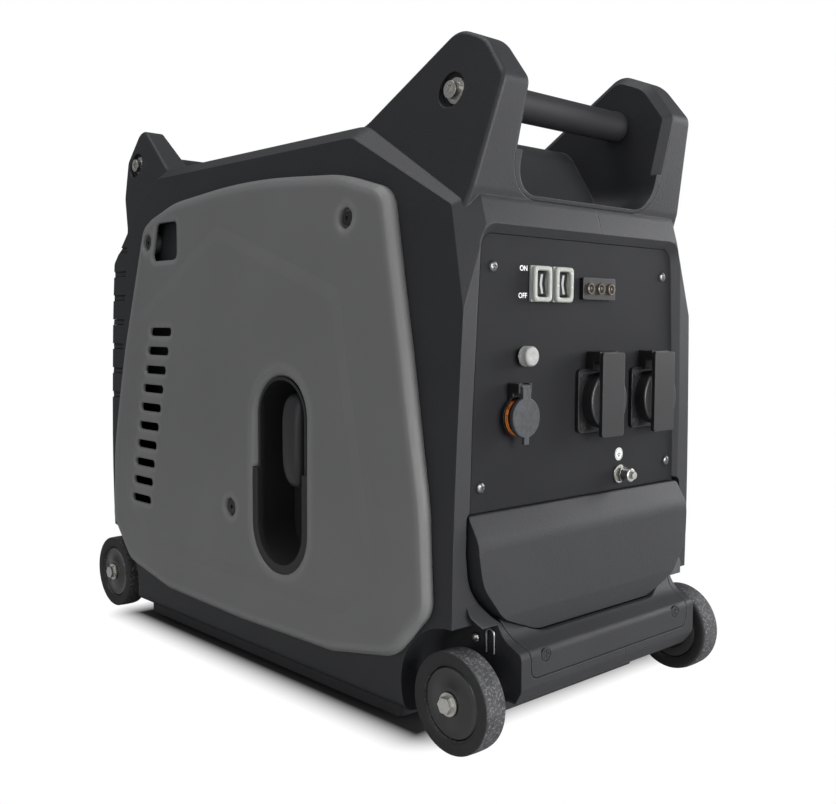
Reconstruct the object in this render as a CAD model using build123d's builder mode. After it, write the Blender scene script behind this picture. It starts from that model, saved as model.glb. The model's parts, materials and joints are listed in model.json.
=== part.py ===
"""Portable inverter generator. Millimetres, +Z up, X across, -Y is the control panel end."""
import os
from math import cos, hypot, pi, sin, sqrt

from build123d import *

os.makedirs("parts", exist_ok=True)

# ---------------------------------------------------------------- shared sizes
WALL = 3.0                    # moulded wall
GAP = 0.3                     # clearance between neighbouring pieces
FIT = 0.05                    # running clearance on a radius
LONG = 330.0                  # longer than anything along Y
WIDE = 180.0                  # wider than anything along X
LEAST_R = 0.8                 # smallest corner radius left by an inset
SIDES = (-1, 1)

# ---------------------------------------------------------------- wheels
WHEEL_R = 37.0
WHEEL_IN, WHEEL_OUT = 125.5, 146.2
AXLE_Y = 259.4
AXLE_R = 5.0
HUB_R = 26.2
ARCH_R = 53.0
ARCH_X = 109.0                # inner wall of the wheel arch
BOSS_R, BOSS_X = 13.0, 92.0

# ---------------------------------------------------------------- body outlines
# corner lists hold (first, second, corner radius)
BODY_HALF = [(143.5, 16, 8), (146, 60, 0), (146, 168, 2500), (140.2, 305, 2500), (130.0, 459.5, 0)]
BODY_SIDE = [(-250, 16, 8), (-261, 60, 0), (-264.8, 374, 5), (-258.2, 397, 12), (-133, 459.5, 35),
             (187, 459.5, 35), (222, 437, 14), (268.5, 388, 10), (256, 100, 0), (250, 16, 8)]
SHOULDER_X = 118.0            # where the bevel along the top edge of the lower body starts
SHOULDER_FALL = 26.0          # how far it has fallen by SHOULDER_END_X
SHOULDER_END_X = 150.0
SHOULDER_EDGES = (2, 3, 4, 5, 6)
HORN_HALF = [(134.8, 352, 0), (107.6, 520, 0)]
FRONT_HORN = [(-240, 352, 0), (-259.7, 400, 10), (-277.6, 475.6, 10), (-255, 505.2, 30), (-225, 517.6, 21),
              (-129, 459.5, 45), (-60, 450, 0), (-60, 352, 0)]
REAR_HORN = [(120, 352, 0), (120, 450, 0), (185, 459.5, 30), (254, 514.5, 13), (277.6, 477.5, 11),
             (273.5, 437, 25), (258, 403, 5), (246, 352, 0)]
HORN_EDGE = 3.5
SEAM_X = 13.5                 # parting line of the two shells

BUMPER_HALF = [(107, 32, 6), (109, 46, 0), (109, 72, 5), (132, 97, 5), (132, 112, 0)]
FRONT_BUMPER = [(-250, 32, 0), (-285, 32, 9), (-294, 45, 6), (-294, 71, 6), (-276, 79.5, 22),
                (-261, 106, 0), (-250, 106, 0)]
REAR_BUMPER_SHIFT = -4.0
BUMPER_WALL = 6.6

# ---------------------------------------------------------------- openings
PANEL_HALF = [(132, 164, 0), (129.6, 240, 0), (121.8, 374.5, 17)]
PANEL_BEVEL = 5.5
PANEL_FACE_Y = -258.6
PANEL_T = 3.0
FLANGE_Y = PANEL_FACE_Y + PANEL_T + GAP
FLANGE_W = 16.0
CHIN_FLANGE_W = 8.0
CHIN_HALF = [(70, 79, 30), (107, 93, 30), (127, 119, 30), (130, 142, 0), (130, 168.7, 3)]
CHIN_GAP = 3.3
CHIN_SIDE = [(-255.6, 168.7, 0), (-260.7, 168.7, 2), (-271.9, 150, 22), (-275.2, 95, 12),
             (-274.2, 70, 0), (-255.6, 70, 0)]
PLATE_HALF = [(97.5, 52.5, 6), (99, 72, 0), (104.5, 90, 0), (104.5, 110, 0)]
PLATE_T = 3.0
PLATE_GAP = 0.8
REAR_OPEN = [(-98, 120, 10), (98, 120, 10), (98, 350, 10), (-98, 350, 10)]
REAR_FRAME = 9.0
REAR_T = 3.5
BASE_PLAN = [(-136, -196, 6), (-100, -196, 0), (-100, -240, 6), (100, -240, 6), (100, -196, 0), (136, -196, 6),
             (136, 196, 6), (100, 196, 0), (100, 240, 6), (-100, 240, 6), (-100, 196, 0), (-136, 196, 6)]
BASE_Z0, BASE_Z1, BASE_FLOOR = 6.0, 15.7, 6.0
BASE_RIM = 12.0

# ---------------------------------------------------------------- side covers
COVER = [(-130, 45, 30), (0, 42.5, 0), (130, 45, 30), (206, 59, 30), (243.5, 99, 22), (239, 175, 200),
         (216, 285, 150), (186.5, 404, 24), (130, 420, 150), (0, 429.5, 890), (-130, 420, 150),
         (-186.5, 404, 24), (-216, 285, 150), (-239, 175, 200), (-243.5, 99, 22), (-206, 59, 30)]
COVER_X, COVER_BEND_Z, COVER_LEAN = 154.4, 235.0, 0.0556
COVER_FACE = [(100, 20, 0), (COVER_X, 20, 0), (COVER_X, COVER_BEND_Z, 2400), (143, 440, 0), (100, 440, 0)]
COVER_BEVEL = 4.0
WINDOW_FRONT = [(-150, 84, 12), (-12, 84, 12), (-12, 345, 12), (-135, 345, 12)]
WINDOW_REAR = [(32, 84, 12), (214, 84, 12), (186, 345, 12), (32, 345, 12)]
SCREW_SPOTS = [(-141.6, 385.0), (175.3, 384.0), (12.1, 141.6)]
RECESS_R, RECESS_DEPTH, BOSS_WALL = 8.5, 5.0, 2.0
SCREW_R, SCREW_HEAD_R = 2.6, 5.6
SLOT_COUNT, SLOT_H = 10, 8.2
SLOT_TOP, SLOT_BOTTOM = (120.0, 162.0, 296.0), (158.6, 197.7, 128.0)
HATCH = [(114, 365, 6), (164.5, 365, 6), (158, 402, 6), (118, 402, 6)]
GROOVES = (381.0, 356.0, 331.0, 305.5, 280.0, 254.5, 229.0)
GROOVE_H = 6.0

# ---------------------------------------------------------------- recoil starter
PULL_Y0, PULL_Y1, PULL_Z0, PULL_Z1 = -102.5, -23.0, 95.0, 265.5
PULL_BEVEL = 5.0
PULL_SPLIT_Z = 182.0
POCKET_WALL = 2.5
POCKET_BACK_X = -112.0
ROPE_Y, ROPE_Z = -69.0, 207.0
ROPE_R = 2.5
GRIP_W, GRIP_H = 29.0, 79.0
GRIP_X0, GRIP_X1 = -149.0, -127.0
REEL_ROPE_R, REEL_R, REEL_W = 42.0, 52.0, 14.0
ROPE_START_X = -22.0
SHAFT_Z = ROPE_Z - REEL_ROPE_R
SHAFT_R = 12.0

# ---------------------------------------------------------------- top cover and handles
TRAY_HALF_X, TRAY_INNER_X = 90.0, 83.2
TRAY_BED_Z, TRAY_FLOOR_Z = 396.0, 399.0
TRAY_R_OUT, TRAY_R_IN = 30.0, 22.0
DECK_Z = 459.5
HORN_LIP = 6.3
BAY_FRONT = [(-300, TRAY_FLOOR_Z, 0), (-211, TRAY_FLOOR_Z, 30), (-171, 460, 24), (-90, 460, 0),
             (-90, 540, 0), (-300, 540, 0)]
BAY_REAR = [(160, 460, 0), (186, 460, 0), (221, TRAY_FLOOR_Z, 30), (300, TRAY_FLOOR_Z, 0), (300, 540, 0),
            (160, 540, 0)]
DECK_UNDER = [(-209, 380, 0), (-209, TRAY_BED_Z, 0), (-169, DECK_Z - WALL, 21), (184, DECK_Z - WALL, 21),
              (219, TRAY_BED_Z, 0), (219, 380, 0)]
BAR_SPOTS = [(-225.4, 472.7), (256.3, 472.5)]
TUBE_R, TUBE_X, SLEEVE_R = 10.0, 105.7, 12.8
BAR_PAD_X, BAR_PAD_R, BAR_RECESS_R = 109.0, 16.0, 13.0
BOLT_R, BOLT_HEAD_R, BOLT_HEAD_H = 4.0, 6.3, 6.0
FILLER_R = 33.0


# ---------------------------------------------------------------- drawing helpers
def unit(a, b):
    """Unit direction from corner a to corner b."""
    length = hypot(b[0] - a[0], b[1] - a[1])
    return (b[0] - a[0]) / length, (b[1] - a[1]) / length


def both_halves(half):
    """Full outline from the right-hand half listed from the bottom to the top."""
    return half + [(-x, z, r) for x, z, r in reversed(half)]


def moved(corners, du=0.0, dv=0.0):
    return [(u + du, v + dv, r) for u, v, r in corners]


def flipped(corners):
    """Outline mirrored in its first coordinate, still listed the same way round."""
    return [(-u, v, r) for u, v, r in reversed(corners)]


def radii(corners):
    return [corner if len(corner) > 2 else (*corner, 0.0) for corner in corners]


def inset(corners, amount):
    """Outline moved inwards by amount, or by one amount per edge; outwards when negative."""
    corners = radii(corners)
    count = len(corners)
    amounts = amount if isinstance(amount, list) else [amount] * count
    pairs = [(corners[i], corners[(i + 1) % count]) for i in range(count)]
    turn = 1 if sum(a[0] * b[1] - b[0] * a[1] for a, b in pairs) > 0 else -1
    result = []
    for i in range(count):
        p = corners[i]
        a = unit(corners[i - 1], p)
        b = unit(p, corners[(i + 1) % count])
        na, nb = (-a[1] * turn, a[0] * turn), (-b[1] * turn, b[0] * turn)
        da, db = amounts[i - 1], amounts[i]
        cross = na[0] * nb[1] - na[1] * nb[0]
        if abs(cross) < 1e-6:
            shift = (na[0] * da, na[1] * da)
        else:
            shift = ((da * nb[1] - db * na[1]) / cross, (na[0] * db - nb[0] * da) / cross)
        step = max(da, db) if min(da, db) >= 0 else min(da, db)
        radius = max(p[2] - step, LEAST_R) if cross * turn > 0 else p[2] + step
        result.append((p[0] + shift[0], p[1] + shift[1], radius if p[2] else 0.0))
    return result


def rounded_lines(corners):
    """Straight runs joined by tangent arcs, drawn in the line builder that is open."""
    corners = radii(corners)
    count = len(corners)
    joints = []
    for i in range(count):
        p = corners[i]
        a = unit(corners[i - 1], p)
        b = unit(p, corners[(i + 1) % count])
        cosine = max(-1.0, min(1.0, a[0] * b[0] + a[1] * b[1]))
        reach = p[2] * sqrt((1 - cosine) / (1 + cosine)) if p[2] else 0
        if reach < 1e-3:
            joints.append(((p[0], p[1]), None, (p[0], p[1])))
            continue
        start = (p[0] - a[0] * reach, p[1] - a[1] * reach)
        end = (p[0] + b[0] * reach, p[1] + b[1] * reach)
        half = sqrt((1 + cosine) / 2)
        aim = unit((0, 0), (b[0] - a[0], b[1] - a[1]))
        drop = p[2] / half - p[2]
        joints.append((start, (p[0] + aim[0] * drop, p[1] + aim[1] * drop), end))
    for i in range(count):
        start, middle, end = joints[i]
        if middle:
            ThreePointArc(start, middle, end)
        following = joints[(i + 1) % count][0]
        if hypot(following[0] - end[0], following[1] - end[1]) > 1e-6:
            Line(end, following)


def front_plane(y):
    """Plane facing the front, X across and Z up."""
    return Plane(origin=(0, y, 0), x_dir=(1, 0, 0), z_dir=(0, -1, 0))


def side_plane(x):
    """Plane facing +X, Y across and Z up."""
    return Plane(origin=(x, 0, 0), x_dir=(0, 1, 0), z_dir=(1, 0, 0))


def sheet(plane, corners):
    """Flat face of a rounded outline."""
    with BuildSketch(plane) as drawn:
        with BuildLine():
            rounded_lines(corners)
        make_face()
    return drawn.sketch


def across(corners, y0, y1, mode=Mode.ADD):
    """Front-view outline carried from y0 to y1."""
    extrude(sheet(front_plane(y1), corners), amount=y1 - y0, mode=mode)


def along(corners, x0, x1, mode=Mode.ADD):
    """Side-view outline carried from x0 to x1."""
    extrude(sheet(side_plane(x0), corners), amount=x1 - x0, mode=mode)


def upright(corners, z0, z1, mode=Mode.ADD):
    """Plan outline carried from z0 to z1."""
    extrude(sheet(Plane.XY.offset(z0), corners), amount=z1 - z0, mode=mode)


def taper_x(small, x0, large, x1, mode=Mode.ADD):
    """Ruled solid between two side-view outlines with the same corners."""
    loft([sheet(side_plane(x0), small), sheet(side_plane(x1), large)], ruled=True, mode=mode)


def taper_y(first, y0, second, y1, mode=Mode.ADD):
    """Ruled solid between two front-view outlines with the same corners."""
    loft([sheet(front_plane(y0), first), sheet(front_plane(y1), second)], ruled=True, mode=mode)


def block(x0, x1, y0, y1, z0, z1, mode=Mode.ADD):
    with Locations(((x0 + x1) / 2, (y0 + y1) / 2, (z0 + z1) / 2)):
        Box(abs(x1 - x0), abs(y1 - y0), abs(z1 - z0), mode=mode)


def rod_x(radius, x0, x1, y, z, mode=Mode.ADD):
    with Locations(Location(((x0 + x1) / 2, y, z), (0, 90, 0))):
        Cylinder(radius, abs(x1 - x0), mode=mode)


def rod_y(radius, y0, y1, x, z, mode=Mode.ADD):
    with Locations(Location((x, (y0 + y1) / 2, z), (90, 0, 0))):
        Cylinder(radius, abs(y1 - y0), mode=mode)


def rod_z(radius, z0, z1, x, y, mode=Mode.ADD):
    with Locations((x, y, (z0 + z1) / 2)):
        Cylinder(radius, abs(z1 - z0), mode=mode)


def hex_y(flats, y0, y1, x, z, mode=Mode.ADD):
    """Hexagonal prism along Y."""
    with BuildSketch(front_plane(y1)) as drawn:
        with Locations((x, z)):
            RegularPolygon(flats / 2, 6, major_radius=False)
    extrude(drawn.sketch, amount=y1 - y0, mode=mode)


def hex_x(flats, x0, x1, y, z, mode=Mode.ADD):
    """Hexagonal prism along X."""
    with BuildSketch(side_plane(min(x0, x1))) as drawn:
        with Locations((y, z)):
            RegularPolygon(flats / 2, 6, major_radius=False)
    extrude(drawn.sketch, amount=abs(x1 - x0), mode=mode)


def box_outline(u0, u1, v0, v1, radius=0.0):
    return [(u0, v0, radius), (u1, v0, radius), (u1, v1, radius), (u0, v1, radius)]


def save(builder, name):
    builder.part.label = name
    export_step(builder.part, f"parts/{name}.step")


# ---------------------------------------------------------------- shared forms
def body_form(amount):
    """Lower body moved inwards by amount, with its bevelled shoulder."""
    side = inset(BODY_SIDE, amount)
    falls = [SHOULDER_FALL if i in SHOULDER_EDGES else 0.0 for i in range(len(side))]
    lowered = inset(side, falls)
    edge, end = SHOULDER_X - amount / 2, SHOULDER_END_X - amount / 2
    with BuildPart() as form:
        along(side, -edge, edge)
        taper_x(side, edge, lowered, end)
        taper_x(side, -edge, lowered, -end)
        across(inset(both_halves(BODY_HALF), amount), -LONG, LONG, mode=Mode.INTERSECT)
    return form.part


def horn_form(corners, amount, softened):
    """Pair of horns before the tray is cut between them."""
    with BuildPart() as form:
        across(inset(both_halves(HORN_HALF), amount), -LONG, LONG)
        along(inset(corners, amount), -WIDE, WIDE, mode=Mode.INTERSECT)
        if softened:
            rim = form.edges().filter_by(lambda e: abs(e.center().X) > 100 and e.center().Z > 400
                                         and abs(e.center().Y) > 130)
            rim = rim.filter_by(lambda e: not (e.geom_type == GeomType.LINE and abs((e % 0.5).X) > 0.9))
            fillet(rim, HORN_EDGE)
    return form.part


def bumper_form(amount, rear):
    """Bumper and the skirt above it."""
    corners = moved(flipped(FRONT_BUMPER), REAR_BUMPER_SHIFT) if rear else FRONT_BUMPER
    with BuildPart() as form:
        across(inset(both_halves(BUMPER_HALF), amount), -LONG, LONG)
        along(inset(corners, amount), -WIDE, WIDE, mode=Mode.INTERSECT)
    return form.part


CHIN = both_halves(CHIN_HALF)
PANEL_OPEN = both_halves(PANEL_HALF)
PANEL_EDGE = inset(PANEL_OPEN, PANEL_BEVEL)
TRAY_OUT = [(-TRAY_HALF_X, TRAY_BED_Z, TRAY_R_OUT), (TRAY_HALF_X, TRAY_BED_Z, TRAY_R_OUT),
            (TRAY_HALF_X, 540, 0), (-TRAY_HALF_X, 540, 0)]
TRAY_IN = [(-TRAY_INNER_X, TRAY_FLOOR_Z, TRAY_R_IN), (TRAY_INNER_X, TRAY_FLOOR_Z, TRAY_R_IN),
           (TRAY_INNER_X, 540, 0), (-TRAY_INNER_X, 540, 0)]


# ---------------------------------------------------------------- shells
def arches(radius, inner_x, mode):
    """The four wheel arches as drums running out sideways."""
    for side in SIDES:
        for y in (-AXLE_Y, AXLE_Y):
            rod_x(radius, side * inner_x, side * WIDE, y, WHEEL_R, mode=mode)


with BuildPart() as cavity:
    add(body_form(WALL))
    add(horn_form(FRONT_HORN, WALL, False))
    add(horn_form(REAR_HORN, WALL, False))
    add(bumper_form(BUMPER_WALL, False))
    add(bumper_form(BUMPER_WALL, True))
    arches(ARCH_R + WALL, ARCH_X - WALL, Mode.SUBTRACT)

PLATE = both_halves(PLATE_HALF)
with BuildPart() as plate_pocket:
    across(inset(PLATE, -PLATE_GAP), -LONG, CHIN_SIDE[1][0])
    along(inset(FRONT_BUMPER, PLATE_T + GAP), -WIDE, WIDE, mode=Mode.SUBTRACT)

GROOVE_X, GROOVE_Y, GROOVE_DEPTH = 128.0, 240.0, 2.6
GROOVE_SPAN = (GROOVES[-1] - GROOVE_H, GROOVES[0] + GROOVE_H)
with BuildPart() as groove_floor:
    for side in SIDES:
        block(side * (GROOVE_X - 2 * WALL), side * WIDE, GROOVE_Y - 2 * WALL, LONG, *GROOVE_SPAN)
    add(body_form(GROOVE_DEPTH), mode=Mode.INTERSECT)
    add(body_form(GROOVE_DEPTH + WALL), mode=Mode.SUBTRACT)

PANEL_FRONT_Y, BEVEL_END_Y, BEVEL_OUT = -262.0, -266.5, -3.4
BUMPER_SCREW_X, BUMPER_SCREW_Z, BUMPER_SCREW_R, BUMPER_HEAD_R = 82.5, 67.2, 2.2, 4.6
PANEL_SCREWS = [(-104.9, 345.5), (104.9, 345.5), (-116.0, 187.3), (116.0, 187.3)]
PANEL_SCREW_R = 2.2

with BuildPart() as shell_blank:
    add(body_form(0.0))
    add(horn_form(FRONT_HORN, 0.0, True))
    add(horn_form(REAR_HORN, 0.0, True))
    add(bumper_form(0.0, False))
    add(bumper_form(0.0, True))
    add(cavity.part, mode=Mode.SUBTRACT)
    across(inset(TRAY_OUT, -GAP), -LONG, LONG, mode=Mode.SUBTRACT)
    upright(inset(BASE_PLAN, BASE_RIM), BASE_Z1 - 2, BASE_Z1 + 2 * WALL, mode=Mode.SUBTRACT)
    # frame that carries the control panel and the access cover
    across(inset(PANEL_OPEN, -WALL), PANEL_FRONT_Y, FLANGE_Y + WALL)
    across(inset(CHIN, -CHIN_GAP - WALL), PANEL_FRONT_Y + 1, FLANGE_Y + WALL)
    across(inset(CHIN, -CHIN_GAP), -LONG, FLANGE_Y, mode=Mode.SUBTRACT)
    across(PANEL_EDGE, -LONG, FLANGE_Y, mode=Mode.SUBTRACT)
    taper_y(PANEL_EDGE, PANEL_FACE_Y, inset(PANEL_OPEN, BEVEL_OUT), BEVEL_END_Y, mode=Mode.SUBTRACT)
    across(inset(PANEL_EDGE, FLANGE_W), FLANGE_Y - 1, FLANGE_Y + 2 * WALL, mode=Mode.SUBTRACT)
    across(inset(CHIN, CHIN_FLANGE_W), FLANGE_Y - 1, FLANGE_Y + 2 * WALL, mode=Mode.SUBTRACT)
    add(plate_pocket.part, mode=Mode.SUBTRACT)
    across(REAR_OPEN, AXLE_Y - 30, LONG, mode=Mode.SUBTRACT)
    arches(ARCH_R, ARCH_X, Mode.SUBTRACT)
    for side in SIDES:
        for corners in (WINDOW_FRONT, WINDOW_REAR):
            along(corners, *sorted((side * 122, side * WIDE)), mode=Mode.SUBTRACT)
        for z in GROOVES:
            block(side * GROOVE_X, side * WIDE, GROOVE_Y, LONG, z - GROOVE_H / 2, z + GROOVE_H / 2,
                  mode=Mode.SUBTRACT)
    add(groove_floor.part)
    for side in SIDES:
        for y, z in BAR_SPOTS:
            rod_x(BAR_PAD_R, side * (BAR_PAD_X - WALL), side * (BAR_PAD_X + WALL), y, z)
            rod_x(BAR_RECESS_R, side * BAR_PAD_X, side * WIDE, y, z, mode=Mode.SUBTRACT)
            rod_x(BOLT_R + GAP, side * TRAY_HALF_X, side * WIDE, y, z, mode=Mode.SUBTRACT)
        for y in (-AXLE_Y, AXLE_Y):
            rod_x(BOSS_R, side * BOSS_X, side * (ARCH_X - 1), y, WHEEL_R)
            rod_x(AXLE_R + FIT, side * (BOSS_X - 1), side * WIDE, y, WHEEL_R, mode=Mode.SUBTRACT)
        for y, z in SCREW_SPOTS:
            rod_x(SCREW_R + FIT, side * 122, side * WIDE, y, z, mode=Mode.SUBTRACT)
        rod_y(BUMPER_SCREW_R + FIT, -LONG, -AXLE_Y, side * BUMPER_SCREW_X, BUMPER_SCREW_Z, mode=Mode.SUBTRACT)
    for x, z in PANEL_SCREWS:
        rod_y(PANEL_SCREW_R + FIT, -LONG, FLANGE_Y + 2 * WALL, x, z, mode=Mode.SUBTRACT)

with BuildPart() as left_shell:
    add(shell_blank.part)
    block(SEAM_X - GAP / 2, WIDE, -LONG, LONG, 0, 2 * LONG, mode=Mode.SUBTRACT)
save(left_shell, "left_shell")

with BuildPart() as right_shell:
    add(shell_blank.part)
    block(-WIDE, SEAM_X + GAP / 2, -LONG, LONG, 0, 2 * LONG, mode=Mode.SUBTRACT)
save(right_shell, "right_shell")

# ---------------------------------------------------------------- top cover
with BuildPart() as bays:
    across(TRAY_IN, -LONG, LONG)
    along(BAY_FRONT, -WIDE, WIDE, mode=Mode.INTERSECT)

with BuildPart() as rear_bay:
    across(TRAY_IN, -LONG, LONG)
    along(BAY_REAR, -WIDE, WIDE, mode=Mode.INTERSECT)

HORN_BLOCKS = ((FRONT_HORN, (-290, -240), (-240, -100)), (REAR_HORN, (258, 290), (150, 258)))
with BuildPart() as horn_bevel:
    for corners, face_span, top_span in HORN_BLOCKS:
        for side in SIDES:
            lip = side * (TRAY_INNER_X + HORN_LIP)
            block(side * TRAY_INNER_X, lip, *face_span, TRAY_FLOOR_Z + TRAY_R_OUT, 530)
            block(side * TRAY_INNER_X, lip, *top_span, DECK_Z + 1, 530)
with BuildPart() as horn_cores:
    for corners, face_span, top_span in HORN_BLOCKS:
        for side in SIDES:
            taper_x(inset(corners, HORN_LIP), side * TRAY_INNER_X, corners, side * (TRAY_INNER_X + HORN_LIP))

with BuildPart() as top_cover:
    along(FRONT_HORN, -WIDE, WIDE)
    along(REAR_HORN, -WIDE, WIDE)
    along([(-140, 380), (190, 380), (190, DECK_Z), (-140, DECK_Z)], -WIDE, WIDE)
    across(TRAY_OUT, -LONG, LONG, mode=Mode.INTERSECT)
    add(bays.part, mode=Mode.SUBTRACT)
    add(rear_bay.part, mode=Mode.SUBTRACT)
    along(DECK_UNDER, -TRAY_HALF_X + WALL, TRAY_HALF_X - WALL, mode=Mode.SUBTRACT)
    add(horn_bevel.part - horn_cores.part, mode=Mode.SUBTRACT)
    rod_z(FILLER_R, TRAY_BED_Z, DECK_Z + 10, 0, 0, mode=Mode.SUBTRACT)
    for y, z in BAR_SPOTS:
        rod_x(TUBE_R + GAP, -WIDE, WIDE, y, z, mode=Mode.SUBTRACT)
save(top_cover, "top_cover")

# ---------------------------------------------------------------- base tray
BASE_SLOTS, BASE_SLOT_PITCH = 7, 24.0
with BuildPart() as base_tray:
    upright(BASE_PLAN, BASE_Z0, BASE_Z1)
    upright(inset(BASE_PLAN, BASE_RIM), BASE_Z0 + BASE_FLOOR, BASE_Z1 + 1, mode=Mode.SUBTRACT)
    for i in range(BASE_SLOTS):
        y = (i - (BASE_SLOTS - 1) / 2) * BASE_SLOT_PITCH
        upright(box_outline(-50, 50, y - 3, y + 3, 2.9), 0, BASE_Z1, mode=Mode.SUBTRACT)
save(base_tray, "base_tray")


# ---------------------------------------------------------------- side covers
def cover_x(z):
    """Outer face of the cover at height z."""
    return COVER_X - max(0.0, z - COVER_BEND_Z) * COVER_LEAN


def cover_form():
    """Right-hand cover with its bosses, screw recesses and louvres."""
    with BuildPart() as hollow:
        along(inset(COVER, WALL), 100, WIDE)
        across(inset(COVER_FACE, WALL), -LONG, LONG, mode=Mode.INTERSECT)
    with BuildPart() as form:
        along(COVER, 100, WIDE)
        across(COVER_FACE, -LONG, LONG, mode=Mode.INTERSECT)
        rim = form.edges().filter_by(lambda e: e.center().X > 142)
        rim = rim.filter_by(lambda e: not (e.geom_type == GeomType.LINE and abs((e % 0.5).Y) > 0.999
                                           and e.length > 300))
        chamfer(rim, COVER_BEVEL)
        add(hollow.part, mode=Mode.SUBTRACT)
        for y, z in SCREW_SPOTS:
            rod_x(RECESS_R + BOSS_WALL, 122, cover_x(z) - 1.5, y, z)
    return form.part


def cover_cuts():
    """Cuts every cover has: body behind it, screw recesses, louvres."""
    add(body_form(-GAP), mode=Mode.SUBTRACT)
    for y, z in SCREW_SPOTS:
        rod_x(RECESS_R, cover_x(z) - RECESS_DEPTH, WIDE, y, z, mode=Mode.SUBTRACT)
        rod_x(SCREW_R + GAP, 100, WIDE, y, z, mode=Mode.SUBTRACT)
    for i in range(SLOT_COUNT):
        share = i / (SLOT_COUNT - 1)
        y0, y1, z = (a + (b - a) * share for a, b in zip(SLOT_TOP, SLOT_BOTTOM))
        along(box_outline(y0, y1, z - SLOT_H / 2, z + SLOT_H / 2, SLOT_H / 2 - 0.2), 100, WIDE,
              mode=Mode.SUBTRACT)


with BuildPart() as right_side_cover:
    add(cover_form())
    cover_cuts()
save(right_side_cover, "right_side_cover")

PULL_R = 39.0
PULL = box_outline(PULL_Y0, PULL_Y1, PULL_Z0, PULL_Z1, PULL_R)
PULL_LOW = [(PULL_Y0, PULL_Z0, PULL_R), (PULL_Y1, PULL_Z0, PULL_R), (PULL_Y1, PULL_SPLIT_Z, 0),
            (PULL_Y0, PULL_SPLIT_Z, 0)]
PULL_IN = inset(PULL, PULL_BEVEL)
COLLAR_X0 = 141.0
BEVEL_X = COVER_X - PULL_BEVEL - 0.4
with BuildPart() as left_cover_form:
    add(cover_form())
    along(inset(PULL, -WALL), COLLAR_X0, COVER_X - 2.0)
    cover_cuts()
    along(PULL_IN, 100, WIDE, mode=Mode.SUBTRACT)
    along(PULL_LOW, 100, WIDE, mode=Mode.SUBTRACT)
    taper_x(PULL_IN, BEVEL_X, inset(PULL, -PULL_BEVEL / 2), BEVEL_X + 1.5 * PULL_BEVEL, mode=Mode.SUBTRACT)
    along(HATCH, 100, WIDE, mode=Mode.SUBTRACT)
with BuildPart() as left_side_cover:
    mirror(left_cover_form.part, about=Plane.YZ)
save(left_side_cover, "left_side_cover")

with BuildPart() as cover_screws:
    for side in SIDES:
        for y, z in SCREW_SPOTS:
            seat = cover_x(z) - RECESS_DEPTH + GAP / 2
            rod_x(SCREW_HEAD_R, side * seat, side * (seat + 3.2), y, z)
            rod_x(SCREW_R, side * 126, side * (seat + 1), y, z)
            hex_x(4.0, side * (seat + 1.4), side * (seat + 4), y, z, mode=Mode.SUBTRACT)
save(cover_screws, "cover_screws")

# ---------------------------------------------------------------- recoil starter
GUIDE_R, GUIDE_X = 9.0, 126.7
with BuildPart() as pocket_form:
    along(inset(PULL_IN, GAP), -POCKET_BACK_X, COVER_X - 3.4)
    along(inset(PULL_LOW, GAP), COVER_X - 8.0, COVER_X - 0.6)
    along(inset(PULL_IN, GAP + POCKET_WALL), -POCKET_BACK_X + POCKET_WALL, WIDE, mode=Mode.SUBTRACT)
    rod_x(GUIDE_R, -POCKET_BACK_X, GUIDE_X, ROPE_Y, ROPE_Z)
    rod_x(ROPE_R + 2 * GAP, 100, WIDE, ROPE_Y, ROPE_Z, mode=Mode.SUBTRACT)
with BuildPart() as recoil_pocket:
    mirror(pocket_form.part, about=Plane.YZ)
save(recoil_pocket, "recoil_pocket")

with BuildPart() as recoil_grip:
    along(box_outline(ROPE_Y - GRIP_W / 2, ROPE_Y + GRIP_W / 2, ROPE_Z - GRIP_H / 2, ROPE_Z + GRIP_H / 2, 13),
          GRIP_X0, GRIP_X1)
    fillet(recoil_grip.edges().filter_by(lambda e: abs(e.center().X - GRIP_X0) < 0.01), 6)
    fillet(recoil_grip.edges().filter_by(lambda e: abs(e.center().X - GRIP_X1) < 0.01), 3)
    rod_x(ROPE_R + 2 * FIT, GRIP_X1 - 9, GRIP_X1 + 1, ROPE_Y, ROPE_Z, mode=Mode.SUBTRACT)
save(recoil_grip, "recoil_grip")

with BuildPart() as starter_rope:
    rod_x(ROPE_R, GRIP_X1 - 8, ROPE_START_X, ROPE_Y, ROPE_Z)
save(starter_rope, "starter_rope")

CLIP_X, CLIP_R, CLIP_JOINT_R = POCKET_BACK_X - POCKET_WALL - 1.7, 1.2, 1.4
CLIP_SPOTS = [(-90, 151), (-81, 129), (-72, 146), (-63, 163)]
CLIP_STUD_R = 3.0
with BuildPart() as pocket_clip:
    for (y0, z0), (y1, z1) in zip(CLIP_SPOTS, CLIP_SPOTS[1:]):
        run = Plane(origin=(CLIP_X, (y0 + y1) / 2, (z0 + z1) / 2), z_dir=(0, y1 - y0, z1 - z0))
        with Locations(run.location):
            Cylinder(CLIP_R, hypot(y1 - y0, z1 - z0))
        with Locations((CLIP_X, y0, z0)):
            Sphere(CLIP_JOINT_R)
    rod_x(CLIP_STUD_R, CLIP_X - 2, CLIP_X + CLIP_JOINT_R, *CLIP_SPOTS[-1])
save(pocket_clip, "pocket_clip")

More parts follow.
